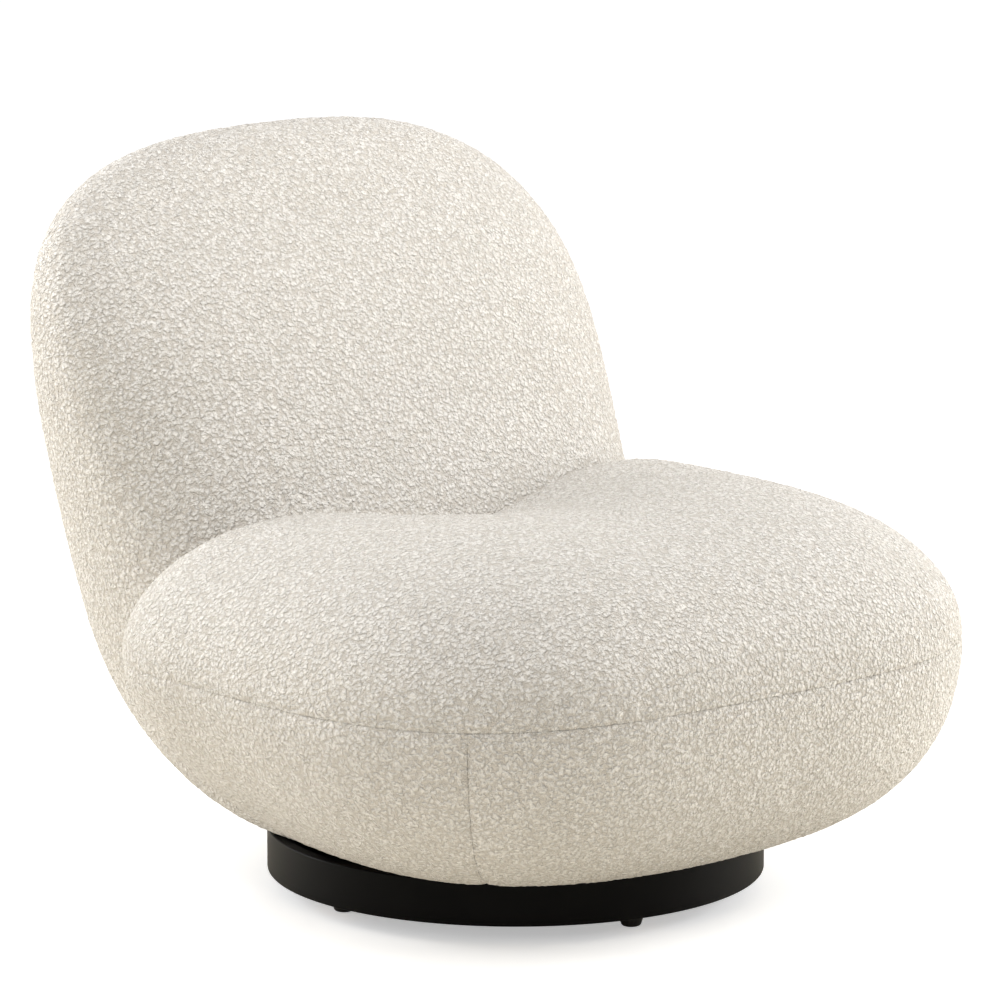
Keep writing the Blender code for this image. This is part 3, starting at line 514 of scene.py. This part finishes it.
def make_seat_covers(sample):
    columns, starts = seat_columns()
    watched = (-math.pi / 2, -3 * CORNER, 0.0)
    low_turns = by_length(
        0, math.pi / 2, lambda t: [seat_lower(a + 0 * t, t) for a in watched], False, True
    )
    high_turns = by_length(
        0, math.pi / 2 * 0.9995, lambda t: [seat_upper(a + 0 * t, t) for a in watched], True, False
    )
    lower = seat_lower(columns[None, :], low_turns[:, None])
    upper = seat_upper(columns[None, :], high_turns[:, None])
    points = np.concatenate((lower[:-1], upper))
    normals = grid_normals(points, True)
    seam_row = len(low_turns) - 1
    height = swell_over(points, sample)
    travelled = along_rows(points)
    drop = seam_drop(np.abs(travelled - travelled[seam_row]))
    around = along_columns(points)
    total = around[:, -1] + np.linalg.norm(points[:, 0] - points[:, -1], axis=1)
    for start in starts[:2]:
        away = np.abs(around - around[:, start][:, None])
        away = np.minimum(away, total[:, None] - away)
        below = np.arange(len(points))[:, None] < seam_row
        drop = np.maximum(drop, seam_drop(away) * below)
    bumps = (loops(points, LOOP_PITCH) - LOOP_MEAN) * LOOP_HEIGHT
    points = points + normals * (height - drop + bumps)[..., None]
    hidden = inside_back(points, HIDDEN_DEPTH)

    top_points = tucked(points[seam_row:], normals[seam_row:], ["first_row"])
    top_hidden = np.concatenate((hidden[seam_row : seam_row + 1], hidden[seam_row:]))
    covers = [panel("seat_top_cover", top_points, top_hidden, wraps=True, close=True)]
    names = ("seat_front_band", "seat_left_band", "seat_right_band")
    rear_share = (starts[3] - starts[2]) // 2
    spans = (
        np.arange(starts[0], starts[1] + 1),
        np.arange(starts[1], starts[2] + rear_share),
        np.arange(starts[3] - rear_share, starts[4] + 1) % len(columns),
    )
    seam_sides = (["first_column", "last_column"], ["first_column"], ["last_column"])
    for name, span, sides in zip(names, spans, seam_sides):
        part = points[: seam_row + 1][:, span]
        part_normals = normals[: seam_row + 1][:, span]
        part_hidden = hidden[: seam_row + 1][:, span]
        part, part_normals, part_hidden = with_hem(part, part_normals, part_hidden)
        part = tucked(part, part_normals, ["last_row"] + sides)
        part_hidden = np.concatenate((part_hidden, part_hidden[-1:]))
        if "first_column" in sides:
            part_hidden = np.concatenate((part_hidden[:, :1], part_hidden), axis=1)
        if "last_column" in sides:
            part_hidden = np.concatenate((part_hidden, part_hidden[:, -1:]), axis=1)
        covers.append(panel(name, part, part_hidden))
    return covers


def with_hem(points, normals, hidden):
    """Carries a cover round its lower edge and in under the seat board."""
    edge = points[0]
    flat = edge * (1, 1, 0)
    outward = flat / np.linalg.norm(flat, axis=-1, keepdims=True)
    turns = ((0.003, 0.0004), (0.007, 0.0012), (0.014, 0.0018), (0.024, 0.0020))
    under = [edge - outward * inset + np.array((0, 0, rise)) for inset, rise in turns]
    rows = np.stack(under[::-1])
    points = np.concatenate((rows, points))
    normals = np.concatenate((np.repeat(normals[:1], len(turns), axis=0), normals))
    hidden = np.concatenate((np.repeat(hidden[:1], len(turns), axis=0), hidden))
    return points, normals, hidden


def panel_seam_angle(z):
    """Where the outer back panel's side seam runs at each height."""
    z = np.clip(z, PANEL_LOW_Z, PANEL_TOP_Z)
    half = back_section(z)[0]
    quarter = np.linspace(math.pi / 2, 0, 400)
    across = np.cos(quarter) * ring_radius(quarter, BACK_ROUNDNESS)
    return np.interp(np.minimum(PANEL_HALF_WIDTH, half * 0.86) / half, across, quarter)


def make_back_covers(sample):
    def ribs(heights):
        return [back_point(a + 0 * heights, heights) for a in (0.0, math.pi / 2, -math.pi / 2)]

    heights = joined(
        by_length(HEM_Z, PANEL_LOW_Z, ribs, False, True),
        by_length(PANEL_LOW_Z, PANEL_TOP_Z, ribs, True, True),
        by_length(PANEL_TOP_Z, CHAIR_HEIGHT - 0.00002, ribs, True, False),
    )
    low_row = int(np.argmin(np.abs(heights - PANEL_LOW_Z)))
    top_row = int(np.argmin(np.abs(heights - PANEL_TOP_Z)))
    middle_z = 0.45
    seam = float(panel_seam_angle(np.array(middle_z)))

    def girth(angles):
        return [back_point(angles, middle_z + 0 * angles)]

    behind = by_length(seam, math.pi - seam, girth, True, True)
    rest = by_length(math.pi - seam, math.tau + seam, girth, True, True)
    behind_share = (behind - seam) / (math.pi - 2 * seam)
    rest_share = (rest - (math.pi - seam)) / (math.pi + 2 * seam)
    row_seam = panel_seam_angle(heights)[:, None]
    angles = np.concatenate(
        (
            row_seam + behind_share[None, :-1] * (math.pi - 2 * row_seam),
            math.pi - row_seam + rest_share[None, :-1] * (math.pi + 2 * row_seam),
        ),
        axis=1,
    )
    last_column = len(behind) - 1
    points = back_point(angles, heights[:, None] + 0 * angles)
    normals = grid_normals(points, True)
    height = swell_over(points, sample)
    travelled = along_rows(points)
    around = along_columns(points)
    total = around[:, -1] + np.linalg.norm(points[:, 0] - points[:, -1], axis=1)
    row = np.arange(len(points))[:, None]
    column = np.arange(points.shape[1])[None, :]
    drop = np.zeros(points.shape[:-1])
    for seam_row in (low_row, top_row):
        across = np.abs(travelled - travelled[seam_row])
        drop = np.maximum(drop, seam_drop(across) * (column <= last_column))
    for seam_column in (0, last_column):
        away = np.abs(around - around[:, seam_column][:, None])
        away = np.minimum(away, total[:, None] - away)
        drop = np.maximum(drop, seam_drop(away) * ((row >= low_row) & (row <= top_row)))
    bumps = (loops(points, LOOP_PITCH) - LOOP_MEAN) * LOOP_HEIGHT
    points = points + normals * (height - drop + bumps)[..., None]
    hidden = inside_seat(points, HIDDEN_DEPTH)

    rear_span = (slice(low_row, top_row + 1), slice(0, last_column + 1))
    rear = tucked(
        points[rear_span], normals[rear_span],
        ["first_row", "last_row", "first_column", "last_column"],
    )
    wrap_points, _, wrap_hidden = with_hem(points, normals, hidden)
    hem_rows = len(wrap_points) - len(points)
    wrap = panel("back_wrap_cover", wrap_points, wrap_hidden, wraps=True, close=True)
    panel_rows = slice(hem_rows + low_row, hem_rows + top_row + 1)
    open_panel(wrap, wrap_points[panel_rows, : last_column + 1])
    return [wrap, panel("back_rear_panel", rear)]


def open_panel(wrap, points):
    """Cuts the opening with these grid points out of the wrap and turns its edges in."""
    inner = points.reshape(-1, 3) + (0, AXIS_Y, 0)
    tree = KDTree(len(inner))
    for i, place in enumerate(inner):
        tree.insert(place, i)
    tree.balance()
    bm = bmesh.new()
    bm.from_mesh(wrap.data)
    bm.normal_update()
    within = {v for v in bm.verts if tree.find(v.co)[2] < 0.00001}
    faces = [face for face in bm.faces if all(v in within for v in face.verts)]
    rim_normals = {v: v.normal.copy() for v in within}
    bmesh.ops.delete(bm, geom=faces, context="FACES")
    edges = [e for e in bm.edges if e.is_boundary and all(v in within for v in e.verts)]
    for made in bmesh.ops.extrude_edge_only(bm, edges=edges)["geom"]:
        if isinstance(made, bmesh.types.BMVert):
            ends = [edge.other_vert(made) for edge in made.link_edges]
            sources = [v for v in ends if v in rim_normals]
            source = min(sources, key=lambda v: (v.co - made.co).length)
            made.co -= rim_normals[source] * SEAM_TUCK
    bm.to_mesh(wrap.data)
    bm.free()


# Drum and feet


def turned(name, profile, centre, sides, edge=None):
    """A closed profile of (radius, z) turned about an upright axis, with softened corners."""
    count = len(profile)
    angles = np.arange(sides) * math.tau / sides
    places = [
        (centre[0] + radius * math.cos(a), centre[1] + radius * math.sin(a), z)
        for a in angles
        for radius, z in profile
    ]
    faces = []
    for i in range(sides):
        here, after = i * count, (i + 1) % sides * count
        for j in range(count):
            k = (j + 1) % count
            faces.append((here + j, here + k, after + k, after + j))
    mesh = bpy.data.meshes.new(name)
    mesh.from_pydata(places, [], faces)
    bm = bmesh.new()
    bm.from_mesh(mesh)
    bmesh.ops.recalc_face_normals(bm, faces=bm.faces)
    bm.to_mesh(mesh)
    bm.free()
    mesh.shade_smooth()
    thing = bpy.data.objects.new(name, mesh)
    bpy.context.scene.collection.objects.link(thing)
    if edge:
        bevel = thing.modifiers.new("eased edges", "BEVEL")
        bevel.width = edge
        bevel.segments = 3
        bevel.limit_method = "ANGLE"
        bevel.angle_limit = math.radians(25)
        bevel.harden_normals = True
    return thing


def make_drum():
    inner = DRUM_RADIUS - DRUM_WALL
    profile = [
        (DRUM_RADIUS, DRUM_TOP_Z), (DRUM_RADIUS, DRUM_BOTTOM_Z),
        (inner, DRUM_BOTTOM_Z), (inner, DRUM_TOP_Z),
    ]
    return turned("drum_ring", profile, (0, AXIS_Y), 256, DRUM_EDGE)


def make_foot(number):
    low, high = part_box(f"foot_{number}")
    centre = ((low[0] + high[0]) / 2, (low[1] + high[1]) / 2)
    top = high[2]
    profile = [
        (FOOT_TOP_RADIUS, top),
        (FOOT_TOP_RADIUS, top - 0.0025),
        (FOOT_TIP_RADIUS + 0.0003, FOOT_TIP_ROUND),
        (FOOT_TIP_RADIUS, FOOT_TIP_ROUND * 0.7),
        (FOOT_TIP_RADIUS - FOOT_TIP_ROUND * 0.3, FOOT_TIP_ROUND * 0.25),
        (FOOT_TIP_RADIUS - FOOT_TIP_ROUND, 0),
        (FOOT_RECESS_RADIUS, 0),
        (FOOT_RECESS_RADIUS, FOOT_RECESS_DEPTH),
        (0.0022, FOOT_RECESS_DEPTH),
        (0.0022, top),
    ]
    return turned(f"drum_foot_{number}", profile, centre, 48, 0.0006)


# Finishes


def group(name, inputs, outputs):
    """An empty node group with its sockets; returns the tree, its input and its output node."""
    tree = bpy.data.node_groups.new(name, "ShaderNodeTree")
    for socket, kind in inputs:
        tree.interface.new_socket(socket, in_out="INPUT", socket_type=kind)
    for socket, kind in outputs:
        tree.interface.new_socket(socket, in_out="OUTPUT", socket_type=kind)
    return tree, tree.nodes.new("NodeGroupInput"), tree.nodes.new("NodeGroupOutput")


def put(tree, kind, settings=None, **inputs):
    """Adds a node; inputs are values or sockets to link from, by name, or i0, i1 by number."""
    made = tree.nodes.new(kind)
    for key, value in (settings or {}).items():
        setattr(made, key, value)
    for key, value in inputs.items():
        by_number = key[0] == "i" and key[1:].isdigit()
        socket = made.inputs[int(key[1:]) if by_number else key]
        if isinstance(value, bpy.types.NodeSocket):
            tree.links.new(value, socket)
        else:
            socket.default_value = value
    return made


def maths(tree, operation, first, second=0.0, third=0.0):
    made = put(tree, "ShaderNodeMath", {"operation": operation}, i0=first, i1=second, i2=third)
    return made.outputs[0]


def ramp(tree, value, low, high):
    """Smoothly from 0 at low to 1 at high."""
    made = put(
        tree, "ShaderNodeMapRange", {"interpolation_type": "SMOOTHSTEP"},
        i0=value, i1=low, i2=high, i3=0.0, i4=1.0,
    )
    return made.outputs[0]


def blend_colour(tree, share, first, second):
    made = put(tree, "ShaderNodeMix", {"data_type": "RGBA"}, i0=share, i6=first, i7=second)
    return made.outputs[2]


def looped_yarn_group():
    """Fat and fine yarn loops: their height, the gaps between them, and soft patches."""
    tree, inside, outside = group(
        "looped yarn",
        [("Place", VECTOR), ("Loops", NUMBER), ("Wander", NUMBER)],
        [("Height", NUMBER), ("Tops", NUMBER), ("Patches", NUMBER)],
    )
    drift = put(
        tree, "ShaderNodeTexNoise", Vector=inside.outputs["Place"], Scale=140.0, Detail=2.0
    )
    centred = put(
        tree, "ShaderNodeVectorMath", {"operation": "SUBTRACT"},
        i0=drift.outputs["Color"], i1=(0.5, 0.5, 0.5),
    )
    shifted = put(
        tree, "ShaderNodeVectorMath", {"operation": "SCALE"},
        i0=centred.outputs[0], Scale=inside.outputs["Wander"],
    )
    place = put(
        tree, "ShaderNodeVectorMath", {"operation": "ADD"},
        i0=inside.outputs["Place"], i1=shifted.outputs[0],
    ).outputs[0]
    fine_scale = maths(tree, "MULTIPLY", inside.outputs["Loops"], 2.1)
    fat = put(
        tree, "ShaderNodeTexVoronoi", {"feature": "SMOOTH_F1"},
        Vector=place, Scale=inside.outputs["Loops"], Smoothness=0.25,
    )
    fine = put(tree, "ShaderNodeTexVoronoi", {"feature": "F1"}, Vector=place, Scale=fine_scale)
    strand = put(
        tree, "ShaderNodeTexNoise", Vector=place, Scale=1100.0, Detail=2.0, Roughness=0.6
    )
    patches = put(
        tree, "ShaderNodeTexNoise", Vector=inside.outputs["Place"], Scale=26.0, Detail=3.0
    )
    fat_dome = maths(tree, "SUBTRACT", 1.0, ramp(tree, fat.outputs["Distance"], 0.05, 0.85))
    fine_dome = maths(tree, "SUBTRACT", 1.0, ramp(tree, fine.outputs["Distance"], 0.05, 0.95))
    height = maths(tree, "MULTIPLY", fat_dome, 0.62)
    height = maths(tree, "MULTIPLY_ADD", fine_dome, 0.30, height)
    height = maths(tree, "MULTIPLY_ADD", strand.outputs[0], 0.12, height)
    tree.links.new(height, outside.inputs["Height"])
    tree.links.new(ramp(tree, height, 0.22, 0.68), outside.inputs["Tops"])
    tree.links.new(ramp(tree, patches.outputs[0], 0.35, 0.65), outside.inputs["Patches"])
    return tree


def grain_group():
    """Long streaks along one axis, as in sawn wood or rolled sheet."""
    tree, inside, outside = group(
        "streaked grain",
        [("Place", VECTOR), ("Stretch", VECTOR), ("Fineness", NUMBER)],
        [("Streaks", NUMBER), ("Pores", NUMBER)],
    )
    place = put(
        tree, "ShaderNodeVectorMath", {"operation": "MULTIPLY"},
        i0=inside.outputs["Place"], i1=inside.outputs["Stretch"],
    ).outputs[0]
    streaks = put(
        tree, "ShaderNodeTexNoise", Vector=place, Scale=inside.outputs["Fineness"], Detail=5.0,
        Distortion=0.6,
    )
    pore_scale = maths(tree, "MULTIPLY", inside.outputs["Fineness"], 6.0)
    pores = put(tree, "ShaderNodeTexNoise", Vector=place, Scale=pore_scale, Detail=2.0)
    tree.links.new(ramp(tree, streaks.outputs[0], 0.3, 0.7), outside.inputs["Streaks"])
    tree.links.new(ramp(tree, pores.outputs[0], 0.42, 0.6), outside.inputs["Pores"])
    return tree


def speckle_group():
    """Even fine unevenness and faint blotches, for paint, plastic, metal, foam and felt."""
    tree, inside, outside = group(
        "fine unevenness",
        [("Place", VECTOR), ("Fineness", NUMBER)],
        [("Fine", NUMBER), ("Blotches", NUMBER)],
    )
    fine = put(
        tree, "ShaderNodeTexNoise", Vector=inside.outputs["Place"],
        Scale=inside.outputs["Fineness"], Detail=3.0,
    )
    blotches = put(
        tree, "ShaderNodeTexNoise", Vector=inside.outputs["Place"], Scale=18.0, Detail=3.0
    )
    tree.links.new(fine.outputs[0], outside.inputs["Fine"])
    tree.links.new(ramp(tree, blotches.outputs[0], 0.35, 0.65), outside.inputs["Blotches"])
    return tree


def finish(name, roughness, metallic=0.0, **shader_values):
    """A new material; returns it with its tree, its shader and the place on the piece."""
    made = bpy.data.materials.new(name)
    made.use_nodes = True
    tree = made.node_tree
    shader = tree.nodes["Principled BSDF"]
    shader.inputs["Roughness"].default_value = roughness
    shader.inputs["Metallic"].default_value = metallic
    for key, value in shader_values.items():
        shader.inputs[key.replace("_", " ")].default_value = value
    place = tree.nodes.new("ShaderNodeTexCoord").outputs["Object"]
    return made, tree, shader, place


def placed(tree, nodes, **inputs):
    made = tree.nodes.new("ShaderNodeGroup")
    made.node_tree = nodes
    for key, value in inputs.items():
        if isinstance(value, bpy.types.NodeSocket):
            tree.links.new(value, made.inputs[key])
        else:
            made.inputs[key].default_value = value
    return made


def bump(tree, shader, height, strength, distance):
    made = put(tree, "ShaderNodeBump", Strength=strength, Distance=distance, Height=height)
    tree.links.new(made.outputs[0], shader.inputs["Normal"])


def colour_input(tree, shader, colour):
    tree.links.new(colour, shader.inputs["Base Color"])


looped_yarn = looped_yarn_group()
streaked_grain = grain_group()
fine_unevenness = speckle_group()


def looped_fabric():
    made, tree, shader, place = finish(
        "ivory looped fabric", 0.95, Sheen_Weight=0.35, Sheen_Roughness=0.5,
        Specular_IOR_Level=0.2,
    )
    shader.inputs["Sheen Tint"].default_value = (1.0, 0.97, 0.92, 1.0)
    yarn = placed(tree, looped_yarn, Place=place, Loops=235.0, Wander=0.0045)
    tops, patches = yarn.outputs["Tops"], yarn.outputs["Patches"]
    light = blend_colour(tree, patches, *YARN_TOPS)
    colour_input(tree, shader, blend_colour(tree, tops, YARN_SHADOW, light))
    bump(tree, shader, yarn.outputs["Height"], 1.0, 0.0042)
    return made


def black_paint():
    made, tree, shader, place = finish("black satin paint", 0.42, Specular_IOR_Level=0.07)
    spots = placed(tree, fine_unevenness, Place=place, Fineness=900.0)
    colour_input(tree, shader, blend_colour(tree, spots.outputs["Blotches"], *BLACK_PAINT))
    rough = maths(tree, "MULTIPLY_ADD", spots.outputs["Fine"], 0.10, 0.37)
    tree.links.new(rough, shader.inputs["Roughness"])
    bump(tree, shader, spots.outputs["Fine"], 0.25, 0.0002)
    return made


def black_plastic():
    made, tree, shader, place = finish("black moulded plastic", 0.28)
    spots = placed(tree, fine_unevenness, Place=place, Fineness=2500.0)
    colour_input(tree, shader, blend_colour(tree, spots.outputs["Blotches"], *BLACK_PLASTIC))
    bump(tree, shader, spots.outputs["Fine"], 0.15, 0.0001)
    return made


def wood(name, light, dark, stretch, fineness, layers=False):
    made, tree, shader, place = finish(name, 0.62)
    grain = placed(tree, streaked_grain, Place=place, Stretch=stretch, Fineness=fineness)
    colour = blend_colour(tree, grain.outputs["Streaks"], (*dark, 1), (*light, 1))
    shadow = (*(part * 0.6 for part in dark), 1)
    pores = maths(tree, "MULTIPLY", grain.outputs["Pores"], 0.35)
    colour = blend_colour(tree, pores, colour, shadow)
    if layers:
        height = put(tree, "ShaderNodeSeparateXYZ", Vector=place).outputs[2]
        band = maths(tree, "PINGPONG", height, 0.0012)
        edge = ramp(tree, band, 0.0004, 0.0008)
        normal = put(tree, "ShaderNodeNewGeometry").outputs["True Normal"]
        upward = put(tree, "ShaderNodeSeparateXYZ", Vector=normal).outputs[2]
        on_edge = maths(tree, "LESS_THAN", maths(tree, "ABSOLUTE", upward), 0.5)
        edge = maths(tree, "MULTIPLY", edge, on_edge)
        colour = blend_colour(tree, maths(tree, "MULTIPLY", edge, 0.6), colour, shadow)
    colour_input(tree, shader, colour)
    bump(tree, shader, grain.outputs["Pores"], 0.3, 0.0003)
    return made


def plain_metal(name, light, dark, roughness, fineness):
    made, tree, shader, place = finish(name, roughness, metallic=1.0)
    spots = placed(tree, fine_unevenness, Place=place, Fineness=fineness)
    colour = blend_colour(tree, spots.outputs["Blotches"], (*dark, 1), (*light, 1))
    colour_input(tree, shader, colour)
    rough = maths(tree, "MULTIPLY_ADD", spots.outputs["Fine"], 0.2, roughness - 0.1)
    tree.links.new(rough, shader.inputs["Roughness"])
    bump(tree, shader, spots.outputs["Fine"], 0.2, 0.0001)
    return made


def soft_stuff(name, light, dark, fineness, depth):
    made, tree, shader, place = finish(name, 0.96, Specular_IOR_Level=0.15)
    spots = placed(tree, fine_unevenness, Place=place, Fineness=fineness)
    tone = maths(tree, "MULTIPLY_ADD", spots.outputs["Blotches"], 0.4, spots.outputs["Fine"])
    colour = blend_colour(tree, ramp(tree, tone, 0.4, 0.9), (*dark, 1), (*light, 1))
    colour_input(tree, shader, colour)
    bump(tree, shader, spots.outputs["Fine"], 0.7, depth)
    return made


def woven(name, light, dark, pitch):
    """Plain weave: two sets of threads that cross, told apart along the piece's own axes."""
    made, tree, shader, place = finish(name, 0.85, Specular_IOR_Level=0.2)
    parts = put(tree, "ShaderNodeSeparateXYZ", Vector=place).outputs
    count = math.pi / pitch
    across = maths(tree, "ABSOLUTE", maths(tree, "SINE", maths(tree, "MULTIPLY", parts[0], count)))
    sideways = maths(tree, "ADD", parts[1], parts[2])
    along = maths(tree, "ABSOLUTE", maths(tree, "SINE", maths(tree, "MULTIPLY", sideways, count)))
    height = maths(tree, "MULTIPLY", across, along)
    spots = placed(tree, fine_unevenness, Place=place, Fineness=400.0)
    tone = maths(tree, "MULTIPLY_ADD", spots.outputs["Blotches"], 0.3, height)
    colour = blend_colour(tree, ramp(tree, tone, 0.1, 0.9), (*dark, 1), (*light, 1))
    colour_input(tree, shader, colour)
    bump(tree, shader, height, 0.6, 0.0004)
    return made


def give(material, *names):
    for name in names:
        for slot in frame["nodes"][name].material_slots:
            slot.material = material


def numbered(stem, count):
    return [f"{stem}_{i}" for i in range(1, count + 1)]


fabric = looped_fabric()
paint = black_paint()
plastic = black_plastic()
plywood = wood("birch plywood", *BIRCH, (1.0, 9.0, 9.0), 9.0, layers=True)
pine_x = wood("pine along the width", *PINE, (1.0, 12.0, 12.0), 11.0)
pine_y = wood("pine along the depth", *PINE, (12.0, 1.0, 12.0), 11.0)
pine_z = wood("pine upright", *PINE, (12.0, 12.0, 1.0), 11.0)
zinc = plain_metal("zinc plated steel", (0.66, 0.66, 0.64), (0.52, 0.52, 0.51), 0.36, 700.0)
spring_steel = plain_metal(
    "oiled spring wire", (0.32, 0.31, 0.30), (0.20, 0.19, 0.18), 0.42, 900.0
)
polished = plain_metal("polished ball steel", (0.74, 0.74, 0.74), (0.66, 0.66, 0.67), 0.16, 500.0)
brass = plain_metal("pressed brass", (0.76, 0.58, 0.27), (0.60, 0.43, 0.18), 0.38, 600.0)
foam = soft_stuff("cream upholstery foam", (0.88, 0.82, 0.62), (0.70, 0.62, 0.42), 700.0, 0.0008)
felt = soft_stuff("grey felt", (0.40, 0.40, 0.39), (0.24, 0.24, 0.24), 1500.0, 0.0006)
webbing = woven("elastic webbing", (0.13, 0.13, 0.14), (0.04, 0.04, 0.045), 0.0024)
lining = woven("black lining", (0.035, 0.035, 0.035), (0.012, 0.012, 0.012), 0.0012)


# The chair


def seat_pins(places):
    x, y, z = places.T
    at_corner = np.abs(np.abs(x / SEAT_HALF_WIDTH) - np.abs(y / SEAT_FRONT_REACH)) < 0.014
    corner = at_corner & (y < 0) & (z < SEAT_SEAM_Z)
    at_seam = np.abs(z - SEAT_SEAM_Z) < PIN_REACH
    return at_seam | (z < HEM_Z + HEM_PIN_HEIGHT) | corner | inside_back(places, 0.0)


def back_pins(places):
    x, y, z = places.T
    rear = y > PANEL_LEAST_Y
    at_sides = (np.abs(np.abs(x) - PANEL_HALF_WIDTH) < PIN_REACH) & (z < PANEL_TOP_Z) & rear
    at_top = (np.abs(z - PANEL_TOP_Z) < PIN_REACH) & (np.abs(x) < PANEL_HALF_WIDTH) & rear
    return (z < HEM_Z + HEM_PIN_HEIGHT) | at_sides | at_top | inside_seat(places, 0.0)


def coarse_seat():
    angles = np.linspace(0, math.tau, 160, endpoint=False)
    low = seat_lower(angles[None, :], np.linspace(0, math.pi / 2, 30)[:, None])
    high = seat_upper(angles[None, :], np.linspace(0, math.pi / 2 * 0.98, 36)[1:, None])
    return np.concatenate((low, high))


def coarse_back():
    angles = np.linspace(0, math.tau, 160, endpoint=False)
    share = (1 - np.cos(np.linspace(0, math.pi, 60))) / 2
    heights = HEM_Z + (CHAIR_HEIGHT - 0.0005 - HEM_Z) * share
    return back_point(angles[None, :], heights[:, None] + 0 * angles)


seat_swell = simulated_swell("seat_padding", coarse_seat(), seat_pins)
back_swell = simulated_swell("back_padding", coarse_back(), back_pins)

seat_top, front_band, left_band, right_band = make_seat_covers(seat_swell)
back_wrap, rear_panel = make_back_covers(back_swell)
covers = {
    seat_top: "seat_cover",
    front_band: "front_band",
    left_band: "left_band",
    right_band: "right_band",
    back_wrap: "back_cover_front",
    rear_panel: "back_cover_rear",
}
for cover, node in covers.items():
    cover.data.materials.append(fabric)
    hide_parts(node)
    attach(cover, "seat")

drum = make_drum()
drum.data.materials.append(paint)
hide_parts("base_ring")
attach(drum, "base")
for number in range(1, 5):
    foot = make_foot(number)
    foot.data.materials.append(plastic)
    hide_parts(f"foot_{number}")
    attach(foot, "base")

give(paint, "base_board")
give(plywood, "seat_board")
give(pine_x, "front_rail", "rear_rail", "top_rail", *numbered("foot_block", 4))
give(pine_y, "left_rail", "right_rail")
give(pine_z, "left_post", "right_post")
give(zinc, "swivel_lower_plate", "swivel_upper_plate", "swivel_hub", "hub_nut")
give(zinc, *numbered("lower_plate_bolt", 4), *numbered("upper_plate_bolt", 4))
give(zinc, *numbered("foot_screw", 4))
give(spring_steel, *numbered("seat_spring", 4))
give(polished, *numbered("ball", 8))
give(brass, "ball_cage")
give(foam, "seat_foam", "back_foam_front", "back_foam_rear")
give(felt, "spring_pad")
give(webbing, *numbered("back_web", 2))
give(lining, "dust_cover")


# Floor, light and camera


def make_floor():
    bm = bmesh.new()
    bmesh.ops.create_grid(bm, x_segments=1, y_segments=1, size=30.0)
    mesh = bpy.data.meshes.new("studio_floor")
    bm.to_mesh(mesh)
    bm.free()
    floor = bpy.data.objects.new("studio_floor", mesh)
    bpy.context.scene.collection.objects.link(floor)
    made, tree, shader, place = finish("pale studio floor", 0.9, Specular_IOR_Level=0.1)
    spots = placed(tree, fine_unevenness, Place=place, Fineness=3.0)
    seen = put(tree, "ShaderNodeLightPath").outputs["Is Camera Ray"]
    pale = blend_colour(tree, spots.outputs["Blotches"], *FLOOR_SEEN)
    colour_input(tree, shader, blend_colour(tree, seen, FLOOR_BOUNCE, pale))
    shader.inputs["Emission Color"].default_value = (1.0, 1.0, 1.0, 1.0)
    tree.links.new(maths(tree, "MULTIPLY", seen, FLOOR_GLOW), shader.inputs["Emission Strength"])
    mesh.materials.append(made)


def softbox(name, place, aim, size, power):
    light = bpy.data.lights.new(name, "AREA")
    light.shape = "RECTANGLE"
    light.size, light.size_y = size
    light.energy = power
    thing = bpy.data.objects.new(name, light)
    bpy.context.scene.collection.objects.link(thing)
    thing.location = place
    thing.rotation_euler = (Vector(aim) - Vector(place)).to_track_quat("-Z", "Y").to_euler()


def make_camera():
    """A long lens at the right front corner, a little above the chair."""
    turn = math.radians(40.35)
    pitch = 0.2030
    sideways, behind, height = -0.0157, -7.5461, 1.9464
    data = bpy.data.cameras.new("studio_camera")
    data.sensor_width = 36.0
    data.lens = 278.0
    data.clip_end = 100.0
    camera = bpy.data.objects.new("studio_camera", data)
    bpy.context.scene.collection.objects.link(camera)
    right = Vector((math.cos(turn), -math.sin(turn), 0))
    away = Vector((math.sin(turn), math.cos(turn), 0))
    camera.location = Vector((0, AXIS_Y, height)) + right * sideways + away * behind
    camera.rotation_euler = (math.pi / 2 - pitch, 0, -turn)
    bpy.context.scene.camera = camera
    return right, away


right, away = make_camera()
up = Vector((0, 0, 1))
make_floor()
centre = Vector((0, AXIS_Y, 0.35))
softbox("overhead", centre + up * 2.4 - right * 0.6 - away * 0.3, centre, (1.8, 1.8), 37)
softbox("left rim", centre - right * 2.4 + away * 0.8 + up * 0.5, centre, (0.9, 1.8), 44)
softbox("right rim", centre + right * 2.4 + away * 0.6 + up * 0.5, centre, (0.9, 1.8), 60)
softbox("front fill", centre - away * 3.2 - right * 1.8 + up * 1.3, centre, (1.2, 1.2), 14)

world = bpy.data.worlds.new("studio")
world.use_nodes = True
background = world.node_tree.nodes["Background"]
background.inputs["Color"].default_value = (1.0, 1.0, 1.0, 1.0)
background.inputs["Strength"].default_value = 0.66
bpy.context.scene.world = world
bpy.context.scene.view_settings.view_transform = "Standard"
